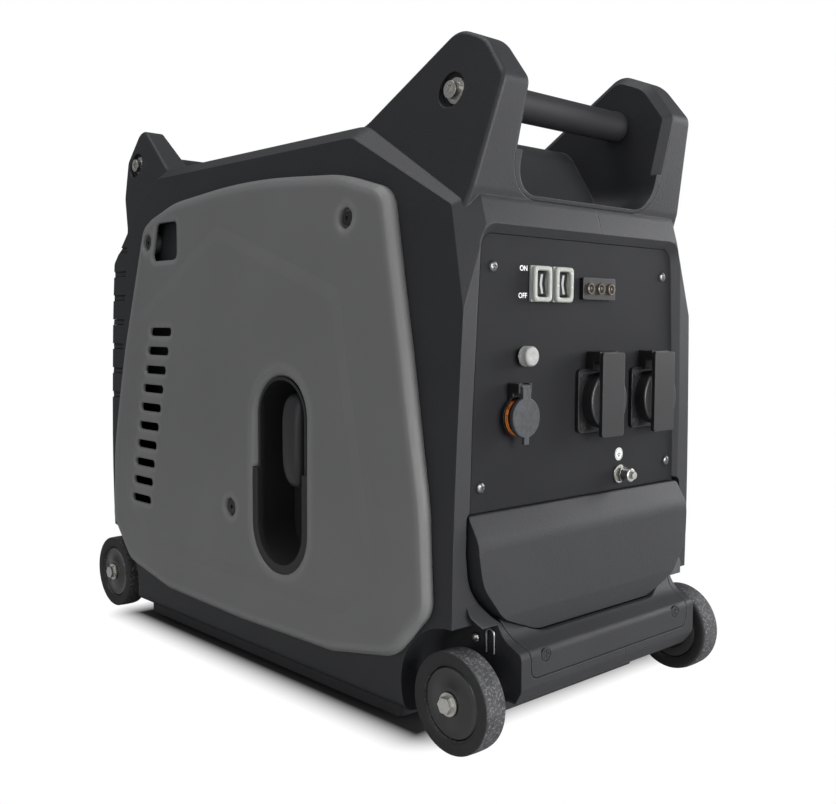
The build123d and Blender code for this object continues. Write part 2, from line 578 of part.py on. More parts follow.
HOUSING_R, HOUSING_Y0 = 95.0, -96.0
POST_R, POST_Y = 8.0, -60.0
REEL_Y0, REEL_Y1 = ROPE_Y - REEL_W / 2, ROPE_Y + REEL_W / 2
with BuildPart() as recoil_housing:
    rod_y(HOUSING_R, HOUSING_Y0, -GAP, 0, SHAFT_Z)
    rod_y(HOUSING_R - WALL, HOUSING_Y0 + WALL, 0, 0, SHAFT_Z, mode=Mode.SUBTRACT)
    rod_y(POST_R, HOUSING_Y0, POST_Y, 0, SHAFT_Z)
    with Locations(Location((0, HOUSING_Y0 + WALL / 2, SHAFT_Z), (90, 0, 0))):
        with PolarLocations(72, 18):
            Box(26, 7, 3 * WALL, mode=Mode.SUBTRACT)
    rod_x(ROPE_R + 2, -HOUSING_R - 1, -HOUSING_R / 2, ROPE_Y, ROPE_Z, mode=Mode.SUBTRACT)
save(recoil_housing, "recoil_housing")

with BuildPart() as reel_groove:
    rod_y(REEL_R + 1, ROPE_Y - ROPE_R - 1.2, ROPE_Y + ROPE_R + 1.2, 0, SHAFT_Z)
    rod_y(REEL_ROPE_R - ROPE_R + 0.4, REEL_Y0 - 1, REEL_Y1 + 1, 0, SHAFT_Z, mode=Mode.SUBTRACT)
with BuildPart() as recoil_reel:
    rod_y(REEL_R, REEL_Y0, REEL_Y1, 0, SHAFT_Z)
    add(reel_groove.part, mode=Mode.SUBTRACT)
    with Locations(Location((0, ROPE_Y, SHAFT_Z), (90, 0, 0))):
        Torus(REEL_ROPE_R, ROPE_R)
    rod_y(POST_R + FIT, REEL_Y0 - 1, REEL_Y1 + 1, 0, SHAFT_Z, mode=Mode.SUBTRACT)
save(recoil_reel, "recoil_reel")

# ---------------------------------------------------------------- engine and alternator
BLADES = 14
with BuildPart() as flywheel:
    rod_y(SHAFT_R, -52, 118, 0, SHAFT_Z)
    rod_y(78, -44, -36, 0, SHAFT_Z)
    with Locations(Location((0, -49, SHAFT_Z), (90, 0, 0))):
        with PolarLocations(60, BLADES):
            Box(34, 3, 10)
save(flywheel, "flywheel")

with BuildPart() as alternator_stator:
    rod_y(74, -32, -GAP, 0, SHAFT_Z)
    rod_y(SHAFT_R + 4, -33, 1, 0, SHAFT_Z, mode=Mode.SUBTRACT)
    with Locations(Location((0, -26, SHAFT_Z), (90, 0, 0))):
        with PolarLocations(56, 12):
            Box(40, 8, 16, mode=Mode.SUBTRACT)
save(alternator_stator, "alternator_stator")

FOOT_Z, FOOT_TOP, FOOT_X = 45.0, 58.0, 95.0
with BuildPart() as crankcase:
    block(-62, 62, 0, 120, FOOT_Z, 235)
    fillet(crankcase.edges().filter_by(Axis.Y), 14)
    rod_y(HOUSING_R, 0, 6, 0, SHAFT_Z)
    block(-FOOT_X, FOOT_X, 6, 114, FOOT_Z, FOOT_TOP)
    rod_y(SHAFT_R + FIT, -1, 121, 0, SHAFT_Z, mode=Mode.SUBTRACT)
save(crankcase, "crankcase")

FINS, FIN_PITCH, FIN_T = 7, 9.0, 2.6
with BuildPart() as cylinder:
    rod_z(36, 235 + GAP, 320, 0, 62)
    for i in range(FINS):
        upright(box_outline(-48, 48, 14, 110, 14), 246 + i * FIN_PITCH, 246 + i * FIN_PITCH + FIN_T)
    upright(box_outline(-46, 46, 18, 106, 10), 310, 330)
    upright(box_outline(-34, 34, 26, 98, 8), 330, 344)
save(cylinder, "cylinder")

with BuildPart() as air_intake:
    upright(box_outline(-124, -84, 20, 110, 8), 258, 334)
    block(-84, -48 - GAP, 46, 80, 280, 312)
    rod_y(9, 30, 100, -66, 276)
save(air_intake, "air_intake")

MUFFLER_Y, MUFFLER_R, TAIL_X, TAIL_R = 190.0, 42.0, 60.0, 12.0
SHIELD_X, SHIELD_Y, SHIELD_T = 90.0, 240.0, 1.5
with BuildPart() as muffler:
    rod_x(MUFFLER_R, -78, 78, MUFFLER_Y, SHAFT_Z)
    fillet(muffler.edges().filter_by(GeomType.CIRCLE), 10)
    rod_y(11, 106 + GAP, MUFFLER_Y, 0, 320)
    rod_z(11, SHAFT_Z, 320, 0, MUFFLER_Y)
    with Locations((0, MUFFLER_Y, 320)):
        Sphere(11)
    rod_y(TAIL_R, MUFFLER_Y + 20, 262, TAIL_X, SHAFT_Z)
    block(-SHIELD_X, SHIELD_X, SHIELD_Y, SHIELD_Y + SHIELD_T, 100, 345)
    rod_y(TAIL_R - 2, MUFFLER_Y + 45, 263, TAIL_X, SHAFT_Z, mode=Mode.SUBTRACT)
    for side in SIDES:
        block(side * 70, side * 78, MUFFLER_Y, SHIELD_Y + 1, SHAFT_Z - 6, SHAFT_Z + 6)
    for side in SIDES:
        block(side * 40, side * 56, MUFFLER_Y - 8, MUFFLER_Y + 8, BASE_Z0 + BASE_FLOOR + GAP, SHAFT_Z - 20)
save(muffler, "muffler")

with BuildPart() as engine_mounts:
    for side in SIDES:
        for y in (22, 98):
            rod_z(13, BASE_Z0 + BASE_FLOOR + GAP, FOOT_Z - GAP, side * 80, y)
save(engine_mounts, "engine_mounts")

NECK_R, NECK_TOP = 30.0, 471.0
with BuildPart() as fuel_tank:
    block(-80, 80, -135, 150, 352, DECK_Z - WALL - GAP)
    fillet(fuel_tank.edges().filter_by(Axis.Z), 18)
    fillet(fuel_tank.faces().sort_by(Axis.Z)[0].edges(), 10)
    rod_z(NECK_R, DECK_Z - 20, NECK_TOP, 0, 0)
    rod_z(NECK_R - 3, DECK_Z - 30, NECK_TOP + 1, 0, 0, mode=Mode.SUBTRACT)
save(fuel_tank, "fuel_tank")

CAP_R = 37.0
with BuildPart() as fuel_cap:
    rod_z(CAP_R, DECK_Z + GAP, 480, 0, 0)
    fillet(fuel_cap.edges().sort_by(Axis.Z)[-1], 4)
    rod_z(NECK_R + GAP, DECK_Z, NECK_TOP + 1, 0, 0, mode=Mode.SUBTRACT)
    with PolarLocations(CAP_R + 0.6, 24):
        with Locations((0, 0, (DECK_Z + 476) / 2)):
            Cylinder(1.8, 476 - DECK_Z - 2 * GAP, mode=Mode.SUBTRACT)
save(fuel_cap, "fuel_cap")

INVERTER_Z = BASE_Z0 + BASE_FLOOR + GAP
with BuildPart() as inverter:
    block(-100, 100, -178, -112, INVERTER_Z, 112)
    for i in range(15):
        block(-96 + i * 13.4, -93 + i * 13.4, -176, -114, 110, 136)
save(inverter, "inverter")

with BuildPart() as battery:
    block(-60, 60, -224, -184, INVERTER_Z, 96)
    fillet(battery.edges().filter_by(Axis.Z), 3)
    for side in SIDES:
        block(side * 46 - 5, side * 46 + 5, -208, -200, 96, 104)
save(battery, "battery")

# ---------------------------------------------------------------- handles
with BuildPart() as handle_tubes:
    for y, z in BAR_SPOTS:
        rod_x(TUBE_R, -TUBE_X, TUBE_X, y, z)
        for side in SIDES:
            rod_x(BOLT_R + FIT, side * 84, side * (TUBE_X + 1), y, z, mode=Mode.SUBTRACT)
save(handle_tubes, "handle_tubes")

SLEEVE_X = TRAY_INNER_X - GAP
with BuildPart() as handle_grips:
    for y, z in BAR_SPOTS:
        rod_x(SLEEVE_R, -SLEEVE_X, SLEEVE_X, y, z)
        rod_x(TUBE_R + FIT, -SLEEVE_X - 1, SLEEVE_X + 1, y, z, mode=Mode.SUBTRACT)
save(handle_grips, "handle_grips")

with BuildPart() as handle_bolts:
    for y, z in BAR_SPOTS:
        for side in SIDES:
            seat = BAR_PAD_X + GAP / 2
            rod_x(BOLT_R, side * 85, side * (seat + 1), y, z)
            rod_x(9.5, side * seat, side * (seat + 1.6), y, z)
            rod_x(BOLT_HEAD_R, side * (seat + 1), side * (seat + 1.6 + BOLT_HEAD_H), y, z)
            hex_x(6.0, side * (seat + 4.4), side * (seat + 12), y, z, mode=Mode.SUBTRACT)
save(handle_bolts, "handle_bolts")

# ---------------------------------------------------------------- wheels
CORNERS = {"fl": (-1, -AXLE_Y), "fr": (1, -AXLE_Y), "rl": (-1, AXLE_Y), "rr": (1, AXLE_Y)}
SPACER_R, AXLE_END = 8.0, 152.0


def tyre_form(side, y):
    with BuildPart() as form:
        rod_x(WHEEL_R, side * WHEEL_IN, side * WHEEL_OUT, y, WHEEL_R)
        fillet(form.edges().filter_by(GeomType.CIRCLE), 3)
        rod_x(HUB_R + GAP, side * (WHEEL_IN - 1), side * (WHEEL_OUT + 1), y, WHEEL_R, mode=Mode.SUBTRACT)
    return form


def hub_form(side, y):
    with BuildPart() as form:
        rod_x(HUB_R, side * (WHEEL_IN + 1), side * (WHEEL_OUT - 2.2), y, WHEEL_R)
        fillet(form.edges().filter_by(GeomType.CIRCLE), 1.2)
        rod_x(HUB_R - 3.5, side * (WHEEL_OUT - 6), side * (WHEEL_OUT - 1.2), y, WHEEL_R)
        rod_x(11, side * WHEEL_IN, side * (WHEEL_OUT - 0.2), y, WHEEL_R)
        rod_x(AXLE_R + FIT, side * (WHEEL_IN - 2), side * (WHEEL_OUT + 2), y, WHEEL_R, mode=Mode.SUBTRACT)
    return form


for key, (side, y) in CORNERS.items():
    save(tyre_form(side, y), f"tyre_{key}")
    save(hub_form(side, y), f"hub_{key}")

with BuildPart() as wheel_axles:
    for side, y in CORNERS.values():
        rod_x(AXLE_R, side * 94, side * (WHEEL_OUT + 2), y, WHEEL_R)
        rod_x(SPACER_R, side * (ARCH_X + GAP), side * (WHEEL_IN - GAP), y, WHEEL_R)
        rod_x(8.5, side * (WHEEL_OUT + GAP), side * (WHEEL_OUT + 1.8), y, WHEEL_R)
        hex_x(11.0, side * (WHEEL_OUT + 1.8), side * AXLE_END, y, WHEEL_R)
save(wheel_axles, "wheel_axles")

# ---------------------------------------------------------------- front covers
with BuildPart() as chin_core:
    across(inset(CHIN, WALL), -LONG, 0)
    along(inset(CHIN_SIDE, [WALL, WALL, WALL, WALL, 0.0, -5.0]), -WIDE, WIDE, mode=Mode.INTERSECT)
with BuildPart() as front_access_cover:
    across(CHIN, -LONG, 0)
    along(CHIN_SIDE, -WIDE, WIDE, mode=Mode.INTERSECT)
    add(chin_core.part, mode=Mode.SUBTRACT)
save(front_access_cover, "front_access_cover")

PLATE_Y = FRONT_BUMPER[2][0]
with BuildPart() as front_bumper_plate:
    across(PLATE, -LONG, CHIN_SIDE[1][0])
    along(FRONT_BUMPER, -WIDE, WIDE, mode=Mode.INTERSECT)
    along(inset(FRONT_BUMPER, PLATE_T), -WIDE, WIDE, mode=Mode.SUBTRACT)
    across(inset(CHIN, -PLATE_GAP), -LONG, 0, mode=Mode.SUBTRACT)
    for side in SIDES:
        rod_y(BUMPER_HEAD_R + 0.8, PLATE_Y - 5, PLATE_Y + 1.9, side * BUMPER_SCREW_X, BUMPER_SCREW_Z,
              mode=Mode.SUBTRACT)
        rod_y(BUMPER_SCREW_R + GAP, PLATE_Y - 5, PLATE_Y + 5, side * BUMPER_SCREW_X, BUMPER_SCREW_Z,
              mode=Mode.SUBTRACT)
save(front_bumper_plate, "front_bumper_plate")

with BuildPart() as bumper_screws:
    for side in SIDES:
        x, z = side * BUMPER_SCREW_X, BUMPER_SCREW_Z
        rod_y(BUMPER_HEAD_R, PLATE_Y + 0.1, PLATE_Y + 1.8, x, z)
        rod_y(BUMPER_SCREW_R, PLATE_Y + 1, PLATE_Y + 10, x, z)
        block(x - 3, x + 3, PLATE_Y, PLATE_Y + 0.9, z - 0.6, z + 0.6, mode=Mode.SUBTRACT)
        block(x - 0.6, x + 0.6, PLATE_Y, PLATE_Y + 0.9, z - 3, z + 3, mode=Mode.SUBTRACT)
save(bumper_screws, "bumper_screws")

REAR_LOW, REAR_HIGH = BODY_SIDE[8], BODY_SIDE[7]
REAR_SLOPE = (REAR_HIGH[0] - REAR_LOW[0]) / (REAR_HIGH[1] - REAR_LOW[1])


def rear_band(near, far):
    """Side-view band standing off the sloping rear face."""
    points = []
    for offset, z in ((near, 90), (far, 90), (far, 380), (near, 380)):
        points.append((REAR_LOW[0] + (z - REAR_LOW[1]) * REAR_SLOPE + offset, z, 0))
    return points


LOUVRES, LOUVRE_PITCH = 11, 18.0
with BuildPart() as rear_cover:
    across(inset(REAR_OPEN, -REAR_FRAME), AXLE_Y - 30, LONG)
    along(rear_band(GAP, GAP + REAR_T), -WIDE, WIDE, mode=Mode.INTERSECT)
    for i in range(LOUVRES):
        z = 340 - i * LOUVRE_PITCH
        right = 84 if z > SHAFT_Z + 34 else TAIL_X - 38
        across(box_outline(-84, right, z - 4, z + 4, 3.6), AXLE_Y - 30, LONG, mode=Mode.SUBTRACT)
    rod_y(TAIL_R + 2, AXLE_Y - 30, LONG, TAIL_X, SHAFT_Z, mode=Mode.SUBTRACT)
save(rear_cover, "rear_cover")

with BuildPart() as exhaust_outlet:
    rod_y(24, AXLE_Y - 30, LONG, TAIL_X, SHAFT_Z)
    rod_y(TAIL_R + 2, AXLE_Y - 31, LONG + 1, TAIL_X, SHAFT_Z, mode=Mode.SUBTRACT)
    along(rear_band(2 * GAP + REAR_T, REAR_T + 6), -WIDE, WIDE, mode=Mode.INTERSECT)
save(exhaust_outlet, "exhaust_outlet")

# ---------------------------------------------------------------- control panel
FACE = PANEL_FACE_Y
SEAT = FACE - GAP
SWITCHES = [(-55.6, 334.6), (-30.4, 334.6)]
SWITCH_W, SWITCH_H = 20.6, 26.6
LAMP_X, LAMP_Z, LAMP_R = (2.2, 15.3, 28.4), 332.6, 4.3
LAMP_BLOCK = (-6.2, 34.5)
BREAKER = (-72.5, 281.0)
DC = (-81.0, 236.5)
AC = [(15.5, 244.5), (85.5, 244.5)]
AC_FLANGE, AC_BODY_R, AC_COLLAR_R = 50.0, 20.0, 22.0
EARTH = (48.5, 182.0)
EARTH_R = 3.0

with BuildPart() as control_panel:
    across(inset(PANEL_EDGE, 0.4), FACE, FACE + PANEL_T)
    for x, z in SWITCHES:
        block(x - 8.5, x + 8.5, FACE - 1, FACE + 5, z - 11, z + 11, mode=Mode.SUBTRACT)
    block(LAMP_X[0] - 5, LAMP_X[-1] + 5, FACE - 1, FACE + 5, LAMP_Z - 5, LAMP_Z + 5, mode=Mode.SUBTRACT)
    rod_y(5.3, FACE - 1, FACE + 5, *BREAKER, mode=Mode.SUBTRACT)
    rod_y(11.3, FACE - 1, FACE + 5, *DC, mode=Mode.SUBTRACT)
    for x, z in AC:
        rod_y(AC_BODY_R + GAP, FACE - 1, FACE + 5, x, z, mode=Mode.SUBTRACT)
    rod_y(EARTH_R + GAP, FACE - 1, FACE + 5, *EARTH, mode=Mode.SUBTRACT)
    for x, z in PANEL_SCREWS:
        rod_y(PANEL_SCREW_R + GAP, FACE - 1, FACE + 5, x, z, mode=Mode.SUBTRACT)
save(control_panel, "control_panel")

with BuildPart() as panel_screws:
    for x, z in PANEL_SCREWS:
        rod_y(3.2, FACE - 2.4, FACE - 1.2, x, z)
        rod_y(4.2, FACE - 1.6, FACE - GAP / 2, x, z)
        rod_y(PANEL_SCREW_R, FACE - 1, FLANGE_Y + WALL + 2, x, z)
        block(x - 2.6, x + 2.6, FACE - 3, FACE - 1.4, z - 0.5, z + 0.5, mode=Mode.SUBTRACT)
        block(x - 0.5, x + 0.5, FACE - 3, FACE - 1.4, z - 2.6, z + 2.6, mode=Mode.SUBTRACT)
save(panel_screws, "panel_screws")

with BuildPart() as switch_bodies:
    for x, z in SWITCHES:
        block(x - SWITCH_W / 2, x + SWITCH_W / 2, SEAT - 2, SEAT, z - SWITCH_H / 2, z + SWITCH_H / 2)
        block(x - 8.2, x + 8.2, SEAT - 1, SEAT + 18, z - 10.7, z + 10.7)
        block(x - 6.6, x + 6.6, SEAT - 3, SEAT + 11, z - 9.8, z + 9.8, mode=Mode.SUBTRACT)
        rod_x(1.5, x - 7, x + 7, SEAT + 2, z)
save(switch_bodies, "switch_bodies")

ROCKER = [(6.5, -6, 1), (0.5, -8.7, 0), (-2.4, -8.4, 0.8), (-0.6, 0, 8), (-1.9, 8.4, 0.8), (0.5, 8.7, 0),
          (6.5, 6, 1)]
for name, (x, z) in zip(("rocker_left", "rocker_right"), SWITCHES):
    with BuildPart() as rocker:
        along(moved(ROCKER, SEAT, z), x - 6.2, x + 6.2)
        rod_x(1.5 + FIT, x - 8, x + 8, SEAT + 2, z, mode=Mode.SUBTRACT)
    save(rocker, name)

BOOT_Y0, BOOT_Y1 = SEAT - 5.6, SEAT - 2 - GAP
with BuildPart() as switch_boots:
    for x, z in SWITCHES:
        across(box_outline(x - SWITCH_W / 2, x + SWITCH_W / 2, z - SWITCH_H / 2, z + SWITCH_H / 2, 2.5),
               BOOT_Y0, BOOT_Y1)
        block(x - 9, x + 9, BOOT_Y0 + 1.2, BOOT_Y1 + 1, z - 11.8, z + 11.8, mode=Mode.SUBTRACT)
save(switch_boots, "switch_boots")

with BuildPart() as indicator_block:
    across(box_outline(*LAMP_BLOCK, LAMP_Z - 8.6, LAMP_Z + 8.6, 1.2), SEAT - 3.4, SEAT)
    block(LAMP_X[0] - 4.7, LAMP_X[-1] + 4.7, SEAT - 1, SEAT + 12, LAMP_Z - 4.7, LAMP_Z + 4.7)
    for x in LAMP_X:
        rod_y(LAMP_R + GAP / 2, SEAT - 6, SEAT + 4, x, LAMP_Z, mode=Mode.SUBTRACT)
save(indicator_block, "indicator_block")

with BuildPart() as indicator_lamps:
    for x in LAMP_X:
        rod_y(LAMP_R, SEAT - 4.6, SEAT + 3.8, x, LAMP_Z)
        rod_y(LAMP_R - 1.2, SEAT - 5.4, SEAT - 3.8, x, LAMP_Z, mode=Mode.SUBTRACT)
        rod_y(LAMP_R - 1.8, SEAT - 5.2, SEAT - 3, x, LAMP_Z)
save(indicator_lamps, "indicator_lamps")

with BuildPart() as breaker_body:
    hex_y(11.0, SEAT - 3.6, SEAT, *BREAKER)
    rod_y(5, SEAT - 1, SEAT + 22, *BREAKER)
    rod_y(3 + FIT, SEAT - 4, SEAT + 12, *BREAKER, mode=Mode.SUBTRACT)
save(breaker_body, "breaker_body")

with BuildPart() as breaker_boot:
    rod_y(7.5, SEAT - 10.7, SEAT - 2.7, *BREAKER)
    fillet(breaker_boot.edges().sort_by(Axis.Y)[0], 1.2)
    rod_y(6.8, SEAT - 7.6, SEAT, *BREAKER, mode=Mode.SUBTRACT)
    rod_y(3, SEAT - 8, SEAT + 9, *BREAKER)
save(breaker_boot, "breaker_boot")

DC_PIN = (SEAT - 9.1, DC[1] + 22.0)
with BuildPart() as dc_socket:
    rod_y(14.5, SEAT - 3, SEAT, *DC)
    rod_y(12.2, SEAT - 9, SEAT, *DC)
    rod_y(11, SEAT - 1, SEAT + 32, *DC)
    rod_y(8.6, SEAT - 10, SEAT + 26, *DC, mode=Mode.SUBTRACT)
    block(DC[0] - 7, DC[0] + 7, SEAT - 3, SEAT, DC[1] + 12, DC[1] + 25)
    block(DC[0] - 7, DC[0] + 7, SEAT - 5, SEAT, DC[1] + 14.6, DC[1] + 25)
    for side in SIDES:
        block(DC[0] + side * 4.5, DC[0] + side * 7, DC_PIN[0] - 1.8, SEAT, DC_PIN[1] - 4, DC_PIN[1] + 3)
    rod_x(1.2, DC[0] - 6, DC[0] + 6, *DC_PIN)
save(dc_socket, "dc_socket")

with BuildPart() as dc_ring:
    rod_y(14.2, SEAT - 6.6, SEAT - 3 - GAP, *DC)
    rod_y(12.2 + GAP / 2, SEAT - 8, SEAT, *DC, mode=Mode.SUBTRACT)
save(dc_ring, "dc_ring")

with BuildPart() as dc_cap:
    rod_y(14.8, SEAT - 12.6, SEAT - 9 - GAP, *DC)
    fillet(dc_cap.edges().sort_by(Axis.Y)[0], 1.0)
    rod_y(6, SEAT - 10, SEAT - 4, *DC)
    block(DC[0] - 4.2, DC[0] + 4.2, SEAT - 12.6, SEAT - 9 - GAP, DC[1] + 8, DC_PIN[1])
    block(DC[0] - 2.5, DC[0] + 2.5, SEAT - 12.6, SEAT - 10.4, DC[1] - 19.5, DC[1] - 12)
    rod_x(2.4, DC[0] - 4.2, DC[0] + 4.2, *DC_PIN)
    rod_x(1.2 + FIT, DC[0] - 8, DC[0] + 8, *DC_PIN, mode=Mode.SUBTRACT)
save(dc_cap, "dc_cap")

AC_COLLAR_Y = SEAT - 9.6
AC_PIN_Y, AC_PIN_DZ = SEAT - 11.1, 36.5
with BuildPart() as ac_sockets:
    for x, z in AC:
        half = AC_FLANGE / 2
        across(box_outline(x - half, x + half, z - half, z + half, 4), SEAT - 3, SEAT)
        rod_y(AC_COLLAR_R, AC_COLLAR_Y, SEAT, x, z)
        rod_y(AC_BODY_R, SEAT - 1, SEAT + 36, x, z)
        rod_y(AC_BODY_R - 0.5, AC_COLLAR_Y - 1, SEAT + 14, x, z, mode=Mode.SUBTRACT)
        block(x - 11.5, x + 11.5, SEAT - 7, SEAT, z + half - 1, z + AC_PIN_DZ + 1)
        for side in SIDES:
            block(x + side * 9, x + side * 11.5, AC_PIN_Y - 1.8, SEAT, z + AC_PIN_DZ - 5, z + AC_PIN_DZ + 2.5)
            for rise in SIDES:
                rod_y(3, SEAT - 3.9, SEAT - 2, x + side * 20, z + rise * 20)
        rod_x(1.6, x - 10, x + 10, AC_PIN_Y, z + AC_PIN_DZ)
save(ac_sockets, "ac_sockets")

with BuildPart() as ac_contacts:
    for x, z in AC:
        for side in SIDES:
            rod_y(3.2, SEAT + 10, SEAT + 14 - GAP, x + side * 9.5, z)
            block(x - 2, x + 2, SEAT, SEAT + 14 - GAP, z + side * 16, z + side * 19.2)
save(ac_contacts, "ac_contacts")

for name, (x, z) in zip(("ac_lid_left", "ac_lid_right"), AC):
    with BuildPart() as lid:
        rod_y(23, AC_COLLAR_Y - 5, AC_COLLAR_Y - GAP, x, z)
        fillet(lid.edges().sort_by(Axis.Y)[0], 1.5)
        across(box_outline(x - 14, x + 14, z - 28, z + AC_PIN_DZ + 1.5, 2.5), AC_COLLAR_Y - 8.5, AC_COLLAR_Y - 5)
        block(x - 8.7, x + 8.7, AC_COLLAR_Y - 5.5, AC_PIN_Y, z + AC_PIN_DZ - 2.5, z + AC_PIN_DZ + 1)
        rod_x(3, x - 8.7, x + 8.7, AC_PIN_Y, z + AC_PIN_DZ)
        rod_x(1.6 + FIT, x - 12, x + 12, AC_PIN_Y, z + AC_PIN_DZ, mode=Mode.SUBTRACT)
    save(lid, name)

with BuildPart() as earth_terminal:
    rod_y(EARTH_R, SEAT - 16, SEAT + PANEL_T, *EARTH)
    rod_y(7.5, SEAT - 1.2, SEAT, *EARTH)
    hex_y(11.0, SEAT - 5.2, SEAT - 1, *EARTH)
save(earth_terminal, "earth_terminal")

with BuildPart() as earth_knob:
    rod_y(5.6, SEAT - 13, SEAT - 5.2 - GAP, *EARTH)
    fillet(earth_knob.edges().sort_by(Axis.Y)[0], 1.0)
    rod_y(EARTH_R + FIT, SEAT - 14, SEAT, *EARTH, mode=Mode.SUBTRACT)
save(earth_knob, "earth_knob")
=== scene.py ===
"""Finishes and small detail for a wheeled inverter generator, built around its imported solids."""

import json
from math import cos, pi, sin

import bmesh
import bpy
import numpy as np
from mathutils import Matrix, Vector
from mathutils.bvhtree import BVHTree


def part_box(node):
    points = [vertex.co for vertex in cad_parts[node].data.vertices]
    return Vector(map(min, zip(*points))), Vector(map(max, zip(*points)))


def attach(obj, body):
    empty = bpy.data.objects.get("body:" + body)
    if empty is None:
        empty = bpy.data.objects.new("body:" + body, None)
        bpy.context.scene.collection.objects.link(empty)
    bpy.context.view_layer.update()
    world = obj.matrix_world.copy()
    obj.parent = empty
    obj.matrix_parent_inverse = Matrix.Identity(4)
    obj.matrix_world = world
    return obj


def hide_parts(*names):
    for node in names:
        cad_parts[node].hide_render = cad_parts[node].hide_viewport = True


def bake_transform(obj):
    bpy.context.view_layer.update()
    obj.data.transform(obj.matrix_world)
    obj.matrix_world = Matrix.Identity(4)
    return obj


bl_info = {
    "name": "Portable generator",
    "version": (1, 0, 0),
    "blender": (4, 5, 0),
    "location": "3D View > Sidebar > Generator",
    "description": "Finishes and detail for a wheeled inverter generator",
    "category": "Object",
}

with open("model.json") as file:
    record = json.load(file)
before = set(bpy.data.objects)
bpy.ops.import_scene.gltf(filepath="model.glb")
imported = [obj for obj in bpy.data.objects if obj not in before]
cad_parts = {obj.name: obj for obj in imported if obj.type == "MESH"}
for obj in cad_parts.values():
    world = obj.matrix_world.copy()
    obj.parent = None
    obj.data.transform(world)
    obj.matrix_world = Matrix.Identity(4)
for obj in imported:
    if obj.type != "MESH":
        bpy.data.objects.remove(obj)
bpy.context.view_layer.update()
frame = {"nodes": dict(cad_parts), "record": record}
MM = 0.001

# Panel screws: across and up, millimetres.
PANEL_SCREWS = ((-104.9, 345.5), (104.9, 345.5), (-116.0, 187.3), (116.0, 187.3))

# Step round the middle of a side cover: straight lines between two points, along and up, millimetres.
COVER_STEP = (((-133, 327), (-68, 349)), ((-187, 105), (-133, 327)), ((-140, 82), (-187, 112)),
              ((160, 90), (-140, 82)), ((206, 130), (160, 90)), ((188, 306), (206, 130)),
              ((117, 346), (188, 306)))

# Rear corner grooves: heights of their middles, and the centre of the corner's curve, millimetres.
GROOVES = (381.0, 356.0, 331.0, 305.5, 280.0, 254.5, 229.0)
CORNER = (128.0, 240.0)

# Two opposite corners of the sheet behind the louvres on the right side, millimetres.
DUCT = ((127.0, 140.0, 92.0), (125.5, 255.0, 360.0))

# Earth mark: half width, half height and height above the middle of each bar, millimetres.
EARTH_BARS = ((0.35, 1.7, 1.6), (2.6, 0.35, 0.0), (1.7, 0.35, -1.2), (0.8, 0.35, -2.3))

# Square lamps: name, place and size in metres, power in watts.
LAMPS = (("key", (-1.9, -1.2, 1.2), 1.0, 7), ("front", (0.2, -2.6, 0.6), 1.3, 82),
         ("low", (-2.2, -0.2, 0.15), 0.8, 6), ("top", (-0.5, 0.1, 2.3), 1.3, 24),
         ("rim", (2.4, -0.9, 0.9), 1.2, 30))
LAMP_TARGET = (0, 0, 0.25)

# Camera: place in metres, yaw, pitch and roll in radians, lens in millimetres and its two shifts.
CAMERA_SPOT = (-0.63050, -0.75444, 0.30209)
CAMERA_TURN = (0.751745, -0.0693895, 0.0051035)
CAMERA_LENS = 43.333
CAMERA_SHIFT = (-0.0125, -0.0061)


